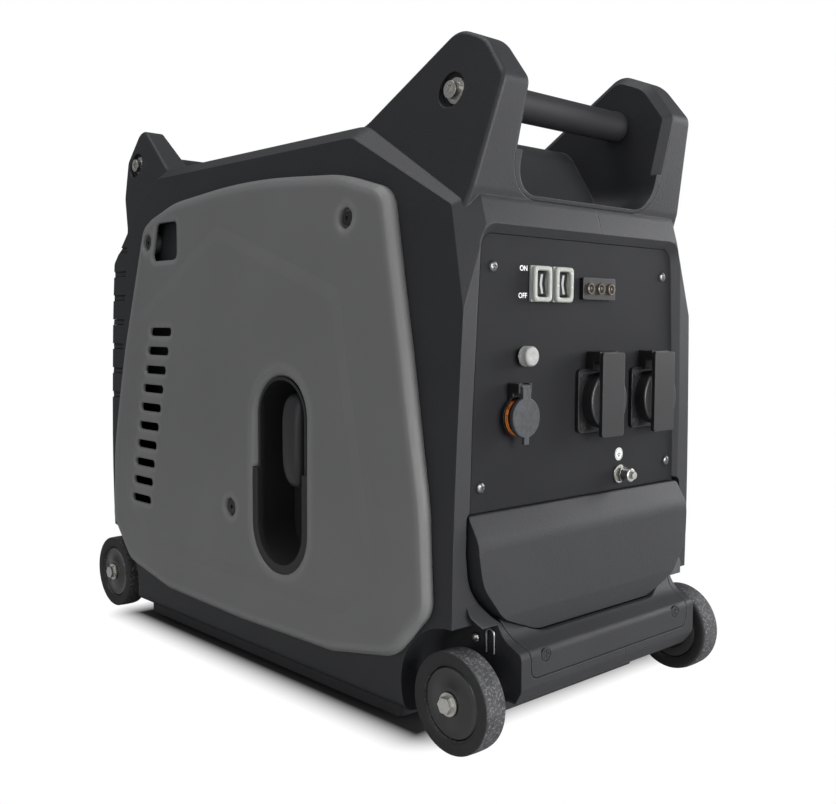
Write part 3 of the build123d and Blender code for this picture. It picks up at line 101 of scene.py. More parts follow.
# ---------------------------------------------------------------- material helpers
class Tree:
    """A material's node tree, with short calls for the nodes that the finishes share."""

    def __init__(self, name):
        self.material = bpy.data.materials.new(name)
        self.material.use_nodes = True
        self.nodes = self.material.node_tree.nodes
        self.shader = self.nodes["Principled BSDF"]
        self.output = self.nodes["Material Output"]
        self.place = self.nodes.new("ShaderNodeTexCoord").outputs["Object"]

    def feed(self, value, socket):
        """Links another node's output to a socket, or writes a plain value into it."""
        if isinstance(value, bpy.types.NodeSocket):
            self.material.node_tree.links.new(value, socket)
        else:
            socket.default_value = value

    def set(self, **values):
        """Uniform values on the shader's own sockets, underscores for spaces."""
        for key, value in values.items():
            self.shader.inputs[key.replace("_", " ")].default_value = value

    def surface(self, base, value, smooth, dull):
        """Base colour, and roughness from smooth to dull while a value goes from 0.3 to 0.7."""
        self.feed(base, self.shader.inputs["Base Color"])
        self.feed(self.ramp(value, 0.3, 0.7, smooth, dull), self.shader.inputs["Roughness"])

    def stretched(self, scale):
        """Object coordinates multiplied along each axis."""
        node = self.nodes.new("ShaderNodeMapping")
        node.inputs["Scale"].default_value = scale
        self.feed(self.place, node.inputs["Vector"])
        return node.outputs["Vector"]

    def axes(self, vector=None):
        """X, Y and Z of a vector, or else of the object coordinates."""
        node = self.nodes.new("ShaderNodeSeparateXYZ")
        self.feed(vector or self.place, node.inputs[0])
        return node.outputs

    def noise(self, scale, detail=2.0, rough=0.5, vector=None):
        """Soft noise from 0 to 1."""
        node = self.nodes.new("ShaderNodeTexNoise")
        node.inputs["Scale"].default_value = scale
        node.inputs["Detail"].default_value = detail
        node.inputs["Roughness"].default_value = rough
        self.feed(vector or self.place, node.inputs["Vector"])
        return node.outputs["Fac"]

    def cells(self, scale):
        """Distance from the nearest of many scattered points."""
        node = self.nodes.new("ShaderNodeTexVoronoi")
        node.inputs["Scale"].default_value = scale
        self.feed(self.place, node.inputs["Vector"])
        return node.outputs["Distance"]

    def ramp(self, value, low, high, out_low=0.0, out_high=1.0):
        """Value between low and high carried to the range out_low to out_high."""
        node = self.nodes.new("ShaderNodeMapRange")
        numbers = {"From Min": low, "From Max": high, "To Min": out_low, "To Max": out_high}
        for key, number in numbers.items():
            node.inputs[key].default_value = number
        self.feed(value, node.inputs["Value"])
        return node.outputs["Result"]

    def math(self, kind, *values):
        """One arithmetic step on sockets or numbers."""
        node = self.nodes.new("ShaderNodeMath")
        node.operation = kind
        for socket, value in zip(node.inputs, values):
            self.feed(value, socket)
        return node.outputs[0]

    def hypotenuse(self, a, b):
        """Square root of a squared and b squared."""
        return self.math("SQRT", self.math("ADD", self.math("MULTIPLY", a, a), self.math("MULTIPLY", b, b)))

    def dot(self, a, b):
        """Dot product of two vectors."""
        node = self.nodes.new("ShaderNodeVectorMath")
        node.operation = "DOT_PRODUCT"
        self.feed(a, node.inputs[0])
        self.feed(b, node.inputs[1])
        return node.outputs["Value"]

    def mix(self, factor, a, b):
        """Colour a where the factor is 0 and b where it is 1."""
        node = self.nodes.new("ShaderNodeMix")
        node.data_type = "RGBA"
        self.feed(factor, node.inputs[0])
        self.feed(a, node.inputs[6])
        self.feed(b, node.inputs[7])
        return node.outputs[2]

    def rounded(self, radius):
        """Normal as if every edge were rounded by a radius."""
        node = self.nodes.new("ShaderNodeBevel")
        node.samples = 6
        node.inputs["Radius"].default_value = radius
        return node.outputs["Normal"]

    def bump(self, heights, edge=0.0):
        """Normal from (height, distance, strength) layers, over edges rounded by a small radius."""
        normal = self.rounded(edge) if edge else None
        for height, distance, strength in heights:
            node = self.nodes.new("ShaderNodeBump")
            node.inputs["Distance"].default_value = distance
            node.inputs["Strength"].default_value = strength
            self.feed(height, node.inputs["Height"])
            if normal:
                self.feed(normal, node.inputs["Normal"])
            normal = node.outputs["Normal"]
        self.feed(normal, self.shader.inputs["Normal"])

    def slope(self, start, end):
        """Distance outwards from the line between two points of the Y Z plane, given in millimetres."""
        along = Vector(end) - Vector(start)
        across = Vector((-along.y, along.x)).normalized()
        offset = across.dot(Vector(start)) * MM
        return self.math("SUBTRACT", self.dot(self.place, (0.0, across.x, across.y)), offset)

    def edges(self, radius):
        """1 on edges and 0 on flat faces, from how far a normal rounded over the radius turns."""
        true_normal = self.nodes.new("ShaderNodeNewGeometry").outputs["Normal"]
        return self.ramp(self.dot(self.rounded(radius), true_normal), 0.99, 0.80)


def shade(colour, factor):
    """Colour made darker or brighter, with alpha 1."""
    return tuple(min(1.0, c * factor) for c in colour[:3]) + (1.0,)


def moulded(name, colour, rough, grain, depth, gloss=0.4, mottle=0.08, edge=0.0006, wear_and_highlight=0.12, rub=0.0009):
    """Injection-moulded plastic: fine pebbled grain, faint cloudiness, and edges painted lighter, partly as
    rubbed wear and partly as a painted highlight.
    """
    tree = Tree(name)
    cloud = tree.noise(14.0, 3.0)
    fine = tree.noise(grain, 2.0, 0.6)
    pebble = tree.cells(grain * 0.8)
    base = tree.mix(tree.ramp(cloud, 0.3, 0.7), shade(colour, 1 - mottle), shade(colour, 1 + mottle))
    # Painted highlight and wear: edges within a small radius painted up to four times lighter.
    if wear_and_highlight:
        base = tree.mix(tree.ramp(tree.edges(rub), 0.0, 1.0, 0.0, wear_and_highlight), base, shade(colour, 4.0))
    tree.surface(base, fine, rough - 0.06, rough + 0.06)
    tree.set(Specular_IOR_Level=gloss)
    tree.bump([(pebble, depth, 0.5), (fine, depth, 0.5)], edge)
    return tree.material


def cover_plastic(name, colour):
    """Grey cover: a soft step round its middle, open at the top, and a painted highlight band along its
    edges, lighter where its bevels would catch light.
    """
    height, half_run, corner, highlight_band, rounding = 1.4 * MM, 6 * MM, 12 * MM, 11 * MM, 8 * MM
    tree = Tree(name)
    step = None
    for start, end in COVER_STEP:
        line = tree.slope(start, end)
        step = tree.math("SMOOTH_MAX", step, line, corner) if step else line
    relief = tree.ramp(step, -half_run, half_run, 1.0, 0.0)
    cloud = tree.noise(14.0, 3.0)
    fine = tree.noise(1100.0, 2.0, 0.6)
    base = tree.mix(tree.ramp(cloud, 0.3, 0.7), shade(colour, 0.97), shade(colour, 1.03))
    # Painted highlight: a band along the edges and round the louvres and pocket, 1.8 times lighter.
    base = tree.mix(tree.ramp(tree.edges(highlight_band), 0.0, 1.0, 0.0, 0.85), base, shade(colour, 1.8))
    tree.surface(base, fine, 0.36, 0.46)
    tree.set(Specular_IOR_Level=0.4)
    tree.bump([(relief, height, 1.0), (fine, 0.08 * MM, 0.5)], rounding)
    return tree.material


def rubber(name, colour, rough, grain, depth, tread=False):
    """Matte rubber with uneven grain; a tread, whose normal lies across X, gets pale scuffs and specks."""
    tree = Tree(name)
    fine = tree.noise(grain, 4.0, 0.65)
    base = tree.mix(tree.ramp(fine, 0.35, 0.65), shade(colour, 0.75), shade(colour, 1.3))
    if tread:
        specks = tree.ramp(tree.noise(grain * 0.6, 3.0, 0.6), 0.5, 0.72, 0.0, 0.7)
        scuff = tree.ramp(tree.noise(90.0, 3.0), 0.35, 0.7, 0.1, 0.5)
        along_axle = tree.axes(tree.nodes.new("ShaderNodeTexCoord").outputs["Normal"])["X"]
        crown = tree.ramp(tree.math("ABSOLUTE", along_axle), 0.35, 0.75, 1.0, 0.0)
        base = tree.mix(tree.math("MULTIPLY", scuff, crown), base, shade(colour, 3.5))
        base = tree.mix(tree.math("MULTIPLY", specks, crown), base, shade(colour, 9.0))
    tree.surface(base, fine, rough - 0.08, rough + 0.05)
    tree.set(Specular_IOR_Level=0.3)
    tree.bump([(fine, depth, 0.6)], 0.6 * MM)
    return tree.material


def metal(name, colour, rough, scratch=(1, 1, 1), depth=0.00002, tarnish=0.25):
    """Bare or plated metal: fine scratches along one axis, and patches of duller plating."""
    tree = Tree(name)
    lines = tree.noise(900.0, 2.0, 0.6, tree.stretched(scratch))
    patch = tree.noise(60.0, 3.0)
    base = tree.mix(tree.ramp(patch, 0.35, 0.75, 0.0, tarnish), shade(colour, 1.0), shade(colour, 0.45))
    tree.surface(base, lines, rough - 0.08, rough + 0.1)
    tree.set(Metallic=1.0)
    tree.bump([(lines, depth, 0.5)], 0.4 * MM)
    return tree.material


def painted(name, colour, rough, chips=0.05, gloss=0.4):
    """Powder-coated steel: orange-peel surface with small rubbed spots on the edges."""
    tree = Tree(name)
    peel = tree.noise(1500.0, 1.0, 0.4)
    cloud = tree.noise(25.0, 4.0)
    base = tree.mix(tree.ramp(cloud, 0.3, 0.7), shade(colour, 0.9), shade(colour, 1.1))
    base = tree.mix(tree.ramp(tree.edges(0.6 * MM), 0.0, 1.0, 0.0, chips), base, (0.4, 0.4, 0.4, 1.0))
    tree.surface(base, peel, rough - 0.05, rough + 0.05)
    tree.set(Specular_IOR_Level=gloss)
    tree.bump([(peel, 0.04 * MM, 0.5)], 0.4 * MM)
    return tree.material


def foam(name, colour):
    """Closed-cell foam sleeve: open pores over a soft, almost lightless black."""
    tree = Tree(name)
    pores = tree.cells(1400.0)
    cloud = tree.noise(60.0, 3.0)
    base = tree.mix(tree.ramp(pores, 0.0, 0.5), shade(colour, 0.6), shade(colour, 1.3))
    base = tree.mix(tree.ramp(cloud, 0.35, 0.7, 0.0, 0.3), base, shade(colour, 1.6))
    tree.feed(base, tree.shader.inputs["Base Color"])
    tree.set(Roughness=0.6, Specular_IOR_Level=0.35)
    tree.bump([(pores, 0.1 * MM, 0.5)])
    return tree.material


def clear(name, colour, rough, cloudy):
    """Clear or milky plastic, with faint moulding ripples."""
    tree = Tree(name)
    ripple = tree.noise(220.0, 2.0)
    base = tree.mix(tree.ramp(ripple, 0.3, 0.7), shade(colour, 0.93), shade(colour, 1.0))
    tree.surface(base, ripple, rough, rough + 0.08)
    tree.set(Transmission_Weight=1.0 - cloudy, IOR=1.3)
    tree.bump([(ripple, 0.05 * MM, 0.4)])
    return tree.material


def rgb(name):
    """Colour kept in the generator's settings."""
    return tuple(getattr(bpy.context.scene.generator_settings, name))


# ---------------------------------------------------------------- surface helpers
def placed(name, mesh):
    """Object for a mesh, at the origin."""
    piece = bpy.data.objects.new(name, mesh)
    bpy.context.scene.collection.objects.link(piece)
    return piece


def grid_mesh(name, points, wrap_u=False, wrap_v=False, smooth=True):
    """Mesh from an array of points, rows by columns by 3: each four neighbours make a face.

    A wrapped direction joins its last line of points to its first.
    """
    rows, columns = points.shape[:2]
    index = np.arange(rows * columns).reshape(rows, columns)
    down = np.roll(index, -1, 0) if wrap_u else index[1:]
    here = index if wrap_u else index[:-1]
    if wrap_v:
        right_here, right_down = np.roll(here, -1, 1), np.roll(down, -1, 1)
    else:
        here, down, right_here, right_down = here[:, :-1], down[:, :-1], here[:, 1:], down[:, 1:]
    faces = np.stack([here, down, right_down, right_here], -1).reshape(-1, 4)
    mesh = bpy.data.meshes.new(name)
    mesh.from_pydata(points.reshape(-1, 3).tolist(), [], faces.tolist())
    mesh.polygons.foreach_set("use_smooth", np.full(len(mesh.polygons), smooth))
    mesh.update()
    return placed(name, mesh)


def closed_ends(points):
    """Grid of rings with a ring shrunk to its own middle added at each end."""
    first = np.broadcast_to(points[:1].mean(1, keepdims=True), points[:1].shape)
    last = np.broadcast_to(points[-1:].mean(1, keepdims=True), points[-1:].shape)
    return np.concatenate([first, points, last])


def tidy(piece):
    """Merges doubled points and turns every face outwards."""
    work = bmesh.new()
    work.from_mesh(piece.data)
    bmesh.ops.remove_doubles(work, verts=work.verts, dist=1e-7)
    bmesh.ops.dissolve_degenerate(work, edges=work.edges, dist=1e-8)
    bmesh.ops.recalc_face_normals(work, faces=work.faces)
    work.to_mesh(piece.data)
    work.free()
    return piece


def turned(name, profile, centre, axis, steps=64, closed=False):
    """Body of revolution: each profile point (distance along the axis, radius) swept round the axis, X or Y.

    Across the axis the sweep is (radius cos t, radius sin t). A closed profile joins its end to its start.
    """
    profile = np.array(profile, float)
    angles = np.linspace(0, 2 * pi, steps, endpoint=False)
    along, radius = profile[:, 0][:, None], profile[:, 1][:, None]
    a, b = radius * np.cos(angles), radius * np.sin(angles)
    flat = np.broadcast_to(along, a.shape)
    order = (flat, a, b) if axis == "X" else (b, flat, a)
    return tidy(grid_mesh(name, np.stack(order, -1) + np.array(centre), wrap_u=closed, wrap_v=True))


def ring_body(name, profile, centre, axis, steps=96):
    """Closed ring: a closed profile of (distance along the axis, radius) swept round the axis."""
    return turned(name, profile, centre, axis, steps, closed=True)


def slab(name, low, high):
    """Box between two corners in millimetres."""
    (x0, y0, z0), (x1, y1, z1) = low, high
    ring = np.array([(x0, y0), (x1, y0), (x1, y1), (x0, y1)])
    points = np.stack([np.column_stack([ring, np.full(4, z)]) for z in (z0, z1)]) * MM
    return tidy(grid_mesh(name, closed_ends(points), wrap_v=True, smooth=False))


def arc(centre, radius, start, end, count=7):
    """Points on an arc, angles in degrees."""
    angles = np.radians(np.linspace(start, end, count))
    return [(centre[0] + radius * cos(t), centre[1] + radius * sin(t)) for t in angles]


def joined(name, pieces):
    """One object from several meshes."""
    points, faces, start = [], [], 0
    for piece in pieces:
        mesh = piece.data
        points += [tuple(v.co) for v in mesh.vertices]
        faces += [tuple(start + i for i in p.vertices) for p in mesh.polygons]
        start = len(points)
        bpy.data.objects.remove(piece)
    mesh = bpy.data.meshes.new(name)
    mesh.from_pydata(points, [], faces)
    mesh.polygons.foreach_set("use_smooth", np.full(len(mesh.polygons), True))
    mesh.update()
    return placed(name, mesh)


def dress(piece, material, body, slot, *stands_for):
    """Gives a piece its material and its body, and hides the solids that it stands for. The slot is not used.
    """
    piece.data.materials.clear()
    piece.data.materials.append(material)
    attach(piece, body)
    if stands_for:
        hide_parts(*stands_for)


# ---------------------------------------------------------------- settings
def colour_setting(name, description, value):
    """Colour that a user can change."""
    return bpy.props.FloatVectorProperty(name=name, description=description, default=value, size=3, min=0,
                                         max=1, subtype="COLOR")


class GeneratorSettings(bpy.types.PropertyGroup):
    """Colours and sizes that a user would change."""

    body: colour_setting("Body", "Black textured plastic of the case", (0.0195, 0.0198, 0.0225))
    cover: colour_setting("Side covers", "Grey satin plastic of the side covers", (0.128, 0.128, 0.129))
    panel: colour_setting("Control panel", "Matte sheet of the control panel", (0.0085, 0.0087, 0.0105))
    liner: colour_setting("Liners", "Pocket, filler and other inner black plastic", (0.012, 0.012, 0.013))
    tyre: colour_setting("Tyres", "Rubber of the wheels", (0.022, 0.022, 0.023))
    hub: colour_setting("Hubs", "Smooth discs of the wheels", (0.016, 0.016, 0.017))
    foam: colour_setting("Bar sleeves", "Foam on the carrying bars", (0.008, 0.008, 0.009))
    zinc: colour_setting("Plated steel", "Bolts, screws and the earth stud", (0.62, 0.61, 0.58))
    ring: colour_setting("12 V ring", "Orange metal ring of the 12 V socket", (0.55, 0.16, 0.035))
    lettering: colour_setting("Markings", "ON, OFF and earth marks", (0.75, 0.75, 0.75))
    stage_white: bpy.props.FloatProperty(name="Floor whiteness", description="Reflectance of the floor",
                                         default=0.55, min=0.0, max=1.0)


# ---------------------------------------------------------------- operators
FINISHES = {}


def finishes():
    """One material for each slot of the record, and the dull zinc of the panel's screws."""
    if FINISHES:
        return FINISHES
    body, cover, liner = rgb("body"), rgb("cover"), rgb("liner")
    FINISHES.update(
        # The edge values below paint lighter edges on these plastics: partly rubbed wear, partly painted
        # highlight.
        body_plastic=moulded("body plastic", body, 0.5, 900.0, 0.00016, gloss=0.30, edge=0.0012, wear_and_highlight=0.35,
                             rub=0.0012),
        base_plastic=moulded("base plastic", shade(body, 0.7), 0.6, 900.0, 0.00012),
        cover_plastic=cover_plastic("cover plastic", cover),
        liner_plastic=moulded("liner plastic", liner, 0.5, 1000.0, 0.00008),
        grip_plastic=moulded("grip plastic", shade(liner, 1.6), 0.42, 1300.0, 0.00006),
        tank_plastic=moulded("tank plastic", liner, 0.45, 400.0, 0.00010),
        battery_case=moulded("battery case", liner, 0.35, 800.0, 0.00005),
        switch_frame=moulded("switch frame", (0.36, 0.37, 0.35), 0.35, 1500.0, 0.00002, mottle=0.05,
                             wear_and_highlight=0.0),
        rocker=moulded("rocker", (0.015, 0.015, 0.017), 0.3, 1500.0, 0.00002),
        # Sockets: a strong painted highlight on their edges, with some rubbed wear.
        socket_plastic=moulded("socket plastic", (0.008, 0.008, 0.009), 0.38, 1500.0, 0.00003, gloss=0.5,
                               wear_and_highlight=0.9, edge=0.0008),
        lamp=moulded("lamp", (0.13, 0.105, 0.08), 0.25, 1500.0, 0.00002, mottle=0.2, wear_and_highlight=0.3),
        hub_plastic=moulded("hub plastic", rgb("hub"), 0.2, 300.0, 0.00001, gloss=0.6, wear_and_highlight=0.1),
        panel_sheet=painted("panel sheet", rgb("panel"), 0.6, chips=0.02, gloss=0.15),
        steel_dark=painted("dark steel", (0.020, 0.020, 0.021), 0.5),
        screw_black=painted("black screws", (0.010, 0.010, 0.010), 0.35, chips=0.25),
        rubber=rubber("mount rubber", (0.014, 0.014, 0.014), 0.8, 500.0, 0.0002),
        tyre=rubber("tyre rubber", rgb("tyre"), 0.7, 900.0, 0.0003, tread=True),
        cap_rubber=rubber("cap rubber", (0.040, 0.042, 0.046), 0.5, 300.0, 0.00005),
        rope=rubber("rope cord", (0.030, 0.030, 0.030), 0.85, 900.0, 0.0002),
        foam_grip=foam("foam sleeve", rgb("foam")),
        zinc=metal("zinc plate", rgb("zinc"), 0.3, (1, 1, 6)),
        panel_zinc=metal("dull zinc", (0.16, 0.16, 0.165), 0.32),
        steel_wire=metal("bright wire", (0.45, 0.45, 0.46), 0.3, (1, 6, 1)),
        cast_aluminium=metal("cast aluminium", (0.50, 0.50, 0.51), 0.55, depth=0.0001),
        brass=metal("contact brass", (0.65, 0.47, 0.20), 0.3),
        copper=metal("orange ring", rgb("ring"), 0.28, tarnish=0.15),
        breaker_boot=clear("milky boot", (0.42, 0.42, 0.41), 0.3, cloudy=0.7),
        clear_cover=clear("clear cover", (0.50, 0.51, 0.48), 0.2, cloudy=0.6),
    )
    return FINISHES


class GENERATOR_OT_finishes(bpy.types.Operator):
    """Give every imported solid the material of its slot."""

    bl_idname = "generator.finishes"
    bl_label = "Finishes"

    def execute(self, context):
        slots = {part["node"]: part["material_slot"] for part in frame["record"]["subparts"]}
        for node, solid in frame["nodes"].items():
            material = finishes()[slots[node]]
            solid.data.materials.clear()
            solid.data.materials.append(material)
        return {"FINISHED"}


class GENERATOR_OT_rope(bpy.types.Operator):
    """Lay the starter rope's strands from the reel to the pull grip."""

    bl_idname = "generator.rope"
    bl_label = "Starter rope"

    def execute(self, context):
        """Each strand is a round tube whose middle winds about the rope's middle, one round for each lay."""
        low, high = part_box("starter_rope")
        middle = (low + high) / 2
        radius = (high.z - low.z) / 2
        length = high.x - low.x
        strands, steps, sides, lay = 6, 120, 10, 14 * MM
        winding, tube = radius * 0.62, radius * 0.38
        across = np.linspace(0, 2 * pi, sides, endpoint=False)[None, :]
        share = np.linspace(0, 1, steps)[:, None]
        parts = []
        for strand in range(strands):
            turn = 2 * pi * (share * length / lay + strand / strands)
            x = np.broadcast_to(low.x + share * length, (steps, sides))
            y = middle.y + winding * np.cos(turn) + tube * np.cos(across)
            z = middle.z + winding * np.sin(turn) + tube * np.sin(across)
            parts.append(grid_mesh(f"strand_{strand}", closed_ends(np.stack([x, y, z], -1)), wrap_v=True))
        rope = tidy(joined("starter_rope_strands", parts))
        rope.data.materials.append(finishes()["rope"])
        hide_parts("starter_rope")
        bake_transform(rope)
        return {"FINISHED"}


class GENERATOR_OT_grip(bpy.types.Operator):
    """Shape the pull grip: rounded-square sections that swell and taper along its height."""

    bl_idname = "generator.grip"
    bl_label = "Pull grip"

    def execute(self, context):
        """Half width is W (1 - |s|^3.4)^(1/2.6) and tapers towards the foot, s from -1 to 1 up the grip.

        Round it the section is a superellipse: (sign cos t |cos t|^p, sign sin t |sin t|^p), p = 1 / 1.6.
        """
        low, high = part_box("recoil_grip")
        middle, half = (low + high) / 2, (high - low) / 2
        s = np.sin(np.linspace(-pi / 2, pi / 2, 61))[:, None]
        t = np.linspace(0, 2 * pi, 72, endpoint=False)[None, :]
        swell = np.maximum(1 - np.abs(s) ** 3.4, 0) ** (1 / 2.6)
        waist = 1 - 0.10 * (1 - s) / 2 - 0.03 * np.cos(pi * s) * (np.abs(s) < 0.5)
        power = 2 / 3.2
        c = np.sign(np.cos(t)) * np.abs(np.cos(t)) ** power
        d = np.sign(np.sin(t)) * np.abs(np.sin(t)) ** power
        points = np.stack([middle.x + half.x * swell * d, middle.y + half.y * swell * waist * c,
                           middle.z + half.z * s + 0 * t], -1)
        grip = tidy(grid_mesh("pull_grip", points, wrap_v=True))
        dress(grip, finishes()["grip_plastic"], "pull_handle", "grip_plastic", "recoil_grip")
        return {"FINISHED"}


class GENERATOR_OT_sleeves(bpy.types.Operator):
    """Turn the foam sleeves of the two carrying bars."""

    bl_idname = "generator.sleeves"
    bl_label = "Bar sleeves"

    def execute(self, context):
        """Closed profile: bore, rounded lips that stand a little proud, and a straight run between them."""
        low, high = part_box("handle_grips")
        radius, middle, end = (high.z - low.z) / 2, (low.z + high.z) / 2, high.x
        bore, lip, rounding = radius - 2.7 * MM, 0.4 * MM, 2.4 * MM
        right = arc((end - rounding, radius - rounding), rounding, 0, 90)
        right += [(end - 7 * MM, radius), (end - 10 * MM, radius - lip)]
        left = [(-x, r) for x, r in reversed(right)]
        profile = right + left + [(-end, bore), (end, bore)]
        rows = (low.y + radius, high.y - radius)
        sleeves = [ring_body("sleeve", profile, (0, y, middle), "X") for y in rows]
        sleeve = tidy(joined("foam_sleeves", sleeves))
        dress(sleeve, finishes()["foam_grip"], "frame", "foam_grip", "handle_grips")
        return {"FINISHED"}


class GENERATOR_OT_wheels(bpy.types.Operator):
    """Turn the tyres and hub discs."""

    bl_idname = "generator.wheels"
    bl_label = "Wheels"

    def execute(self, context):
        for key in ("fl", "fr", "rl", "rr"):
            self.wheel(key)
        return {"FINISHED"}

    def wheel(self, key):
        """Tyre: crowned tread between rounded shoulders. Hub: a shallow dish that rises to its centre."""
        low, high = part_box(f"tyre_{key}")
        side = 1 if low.x > 0 else -1
        radius = (high.z - low.z) / 2
        centre = (0, (low.y + high.y) / 2, (low.z + high.z) / 2)
        inner, outer = sorted((abs(low.x), abs(high.x)))
        bore, fall = 26.5 * MM, 0.5 * MM
        crown = [(inner + (outer - inner) * s, radius - fall * (2 * s - 1) ** 2)
                 for s in np.linspace(0.22, 0.90, 8)]
        round_in = arc((inner + 3.2 * MM, radius - 3.6 * MM), 3.2 * MM, 180, 95)
        round_out = arc((outer - 1.3 * MM, radius - 1.6 * MM), 1.3 * MM, 85, 0)
        wall = [(outer, bore + 3 * MM), (outer - 0.4 * MM, bore + 1.1 * MM), (outer - 1.6 * MM, bore)]
        profile = [(inner + 1 * MM, bore), (inner, bore + 1 * MM), *round_in, *crown, *round_out, *wall]
        tyre = ring_body(f"tyre_rubber_{key}", [(side * x, r) for x, r in profile], centre, "X", 128)
        dress(tyre, finishes()["tyre"], f"wheel_{key}", "tyre", f"tyre_{key}")
        rim, shaft, face = 26.2 * MM, 5.05 * MM, outer - 2.0 * MM
        dish = [(face - 1.2 * MM, rim), (face, rim - 1.2 * MM), (face, rim - 2.2 * MM),
                (face - 0.5 * MM, rim - 3.2 * MM), (face + 0.1 * MM, 19 * MM), (face + 0.9 * MM, 14.5 * MM),
                (face + 1.6 * MM, 12 * MM), (face + 1.9 * MM, 10.5 * MM), (face + 1.9 * MM, shaft)]
        back = [(inner + 1.0 * MM, shaft), (inner + 1.0 * MM, rim - 1 * MM), (inner + 2 * MM, rim)]
        hub = ring_body(f"hub_disc_{key}", [(side * x, r) for x, r in back + dish], centre, "X", 128)
        dress(hub, finishes()["hub_plastic"], f"wheel_{key}", "hub_plastic", f"hub_{key}")


class GENERATOR_OT_hollows(bpy.types.Operator):
    """Line the rear corner grooves and the space behind the louvres, and fit the front arch's small parts."""

    bl_idname = "generator.hollows"
    bl_label = "Grooves and hollows"

    def execute(self, context):
        liners = [self.liner(side, z) for side in (-1, 1) for z in GROOVES]
        grooves = joined("groove_liners", liners)
        dress(grooves, finishes()["liner_plastic"], "frame", "liner_plastic")
        corners = [sorted((side * x, y, z) for x, y, z in DUCT) for side in (-1, 1)]
        ducts = joined("louvre_ducts", [slab("duct", *pair) for pair in corners])
        dress(ducts, finishes()["liner_plastic"], "frame", "liner_plastic")
        self.arch_parts()
        return {"FINISHED"}

    def liner(self, side, height):
        """Strip round the corner: (x, y) = c + (r - d)(cos t, sin t), with d the depth of its front or back.

        r is found by a ray inwards to the shell's wall, beside the groove.
        """
        mesh = frame["nodes"]["left_shell" if side < 0 else "right_shell"].data
        tree = BVHTree.FromPolygons([v.co for v in mesh.vertices], [p.vertices for p in mesh.polygons])
        centre = Vector((side * CORNER[0], CORNER[1], height)) * MM
        strip_half, beside, front, back, start = 2.9 * MM, 4 * MM, 0.9 * MM, 2.2 * MM, 100 * MM
        rays = [Vector((side * cos(t), sin(t), 0)) for t in np.radians(np.linspace(1.5, 88.5, 40))]
        lines = []
        for end in (-1, 1):
            level = centre + Vector((0, 0, end * beside))
            edge = centre + Vector((0, 0, end * strip_half))
            reaches = [(tree.ray_cast(level + ray * start, -ray)[0] - level).length for ray in rays]
            lines.append(np.array([[edge + ray * (reach - depth) for depth in (front, back)]
                                   for ray, reach in zip(rays, reaches)]))
        low, high = lines
        points = np.stack([low[:, 0], low[:, 1], high[:, 1], high[:, 0]], 1)
        return tidy(grid_mesh(f"liner_{side}_{height}", closed_ends(points), wrap_v=True, smooth=False))

    def arch_parts(self):
        """Screw and wire clip on the inner wall of the front left arch.

        The clip is a round wire of radius r along two upright legs and the arc between them.
        """
        wall = -109.0 * MM
        radius, top, proud, bevel = 3.4 * MM, 2.4 * MM, 1.6 * MM, 2.6 * MM
        profile = [(wall, 0), (wall, radius), (wall - proud, radius), (wall - bevel, top), (wall - bevel, 0)]
        head = turned("arch_head", profile, (0, -249.6 * MM, 75.4 * MM), "X", 32)
        dress(head, finishes()["zinc"], "frame", "zinc")
        middle, foot, shoulder, bend = -264.5, 67.0, 81.0, 3.8
        leg = np.linspace(foot, shoulder, 15)
        turn = np.linspace(0.2, pi - 0.2, 9)
        up = np.column_stack([np.full(15, middle + bend), leg])
        over = np.column_stack([middle + bend * np.cos(turn), shoulder + bend * np.sin(turn)])
        down = np.column_stack([np.full(15, middle - bend), leg[::-1]])
        route = np.concatenate([up, over, down]) * MM
        ahead = np.gradient(route, axis=0)
        ahead /= np.linalg.norm(ahead, axis=1)[:, None]
        t = np.linspace(0, 2 * pi, 12, endpoint=False)[None, :]
        r, stand_off = 0.8 * MM, 1.1 * MM
        out = wall - stand_off + r * np.sin(t) + 0 * route[:, :1]
        y = route[:, :1] - ahead[:, 1:] * r * np.cos(t)
        z = route[:, 1:] + ahead[:, :1] * r * np.cos(t)
        clip = tidy(grid_mesh("arch_clip", closed_ends(np.stack([out, y, z], -1)), wrap_v=True))
        dress(clip, finishes()["steel_wire"], "frame", "steel_wire")


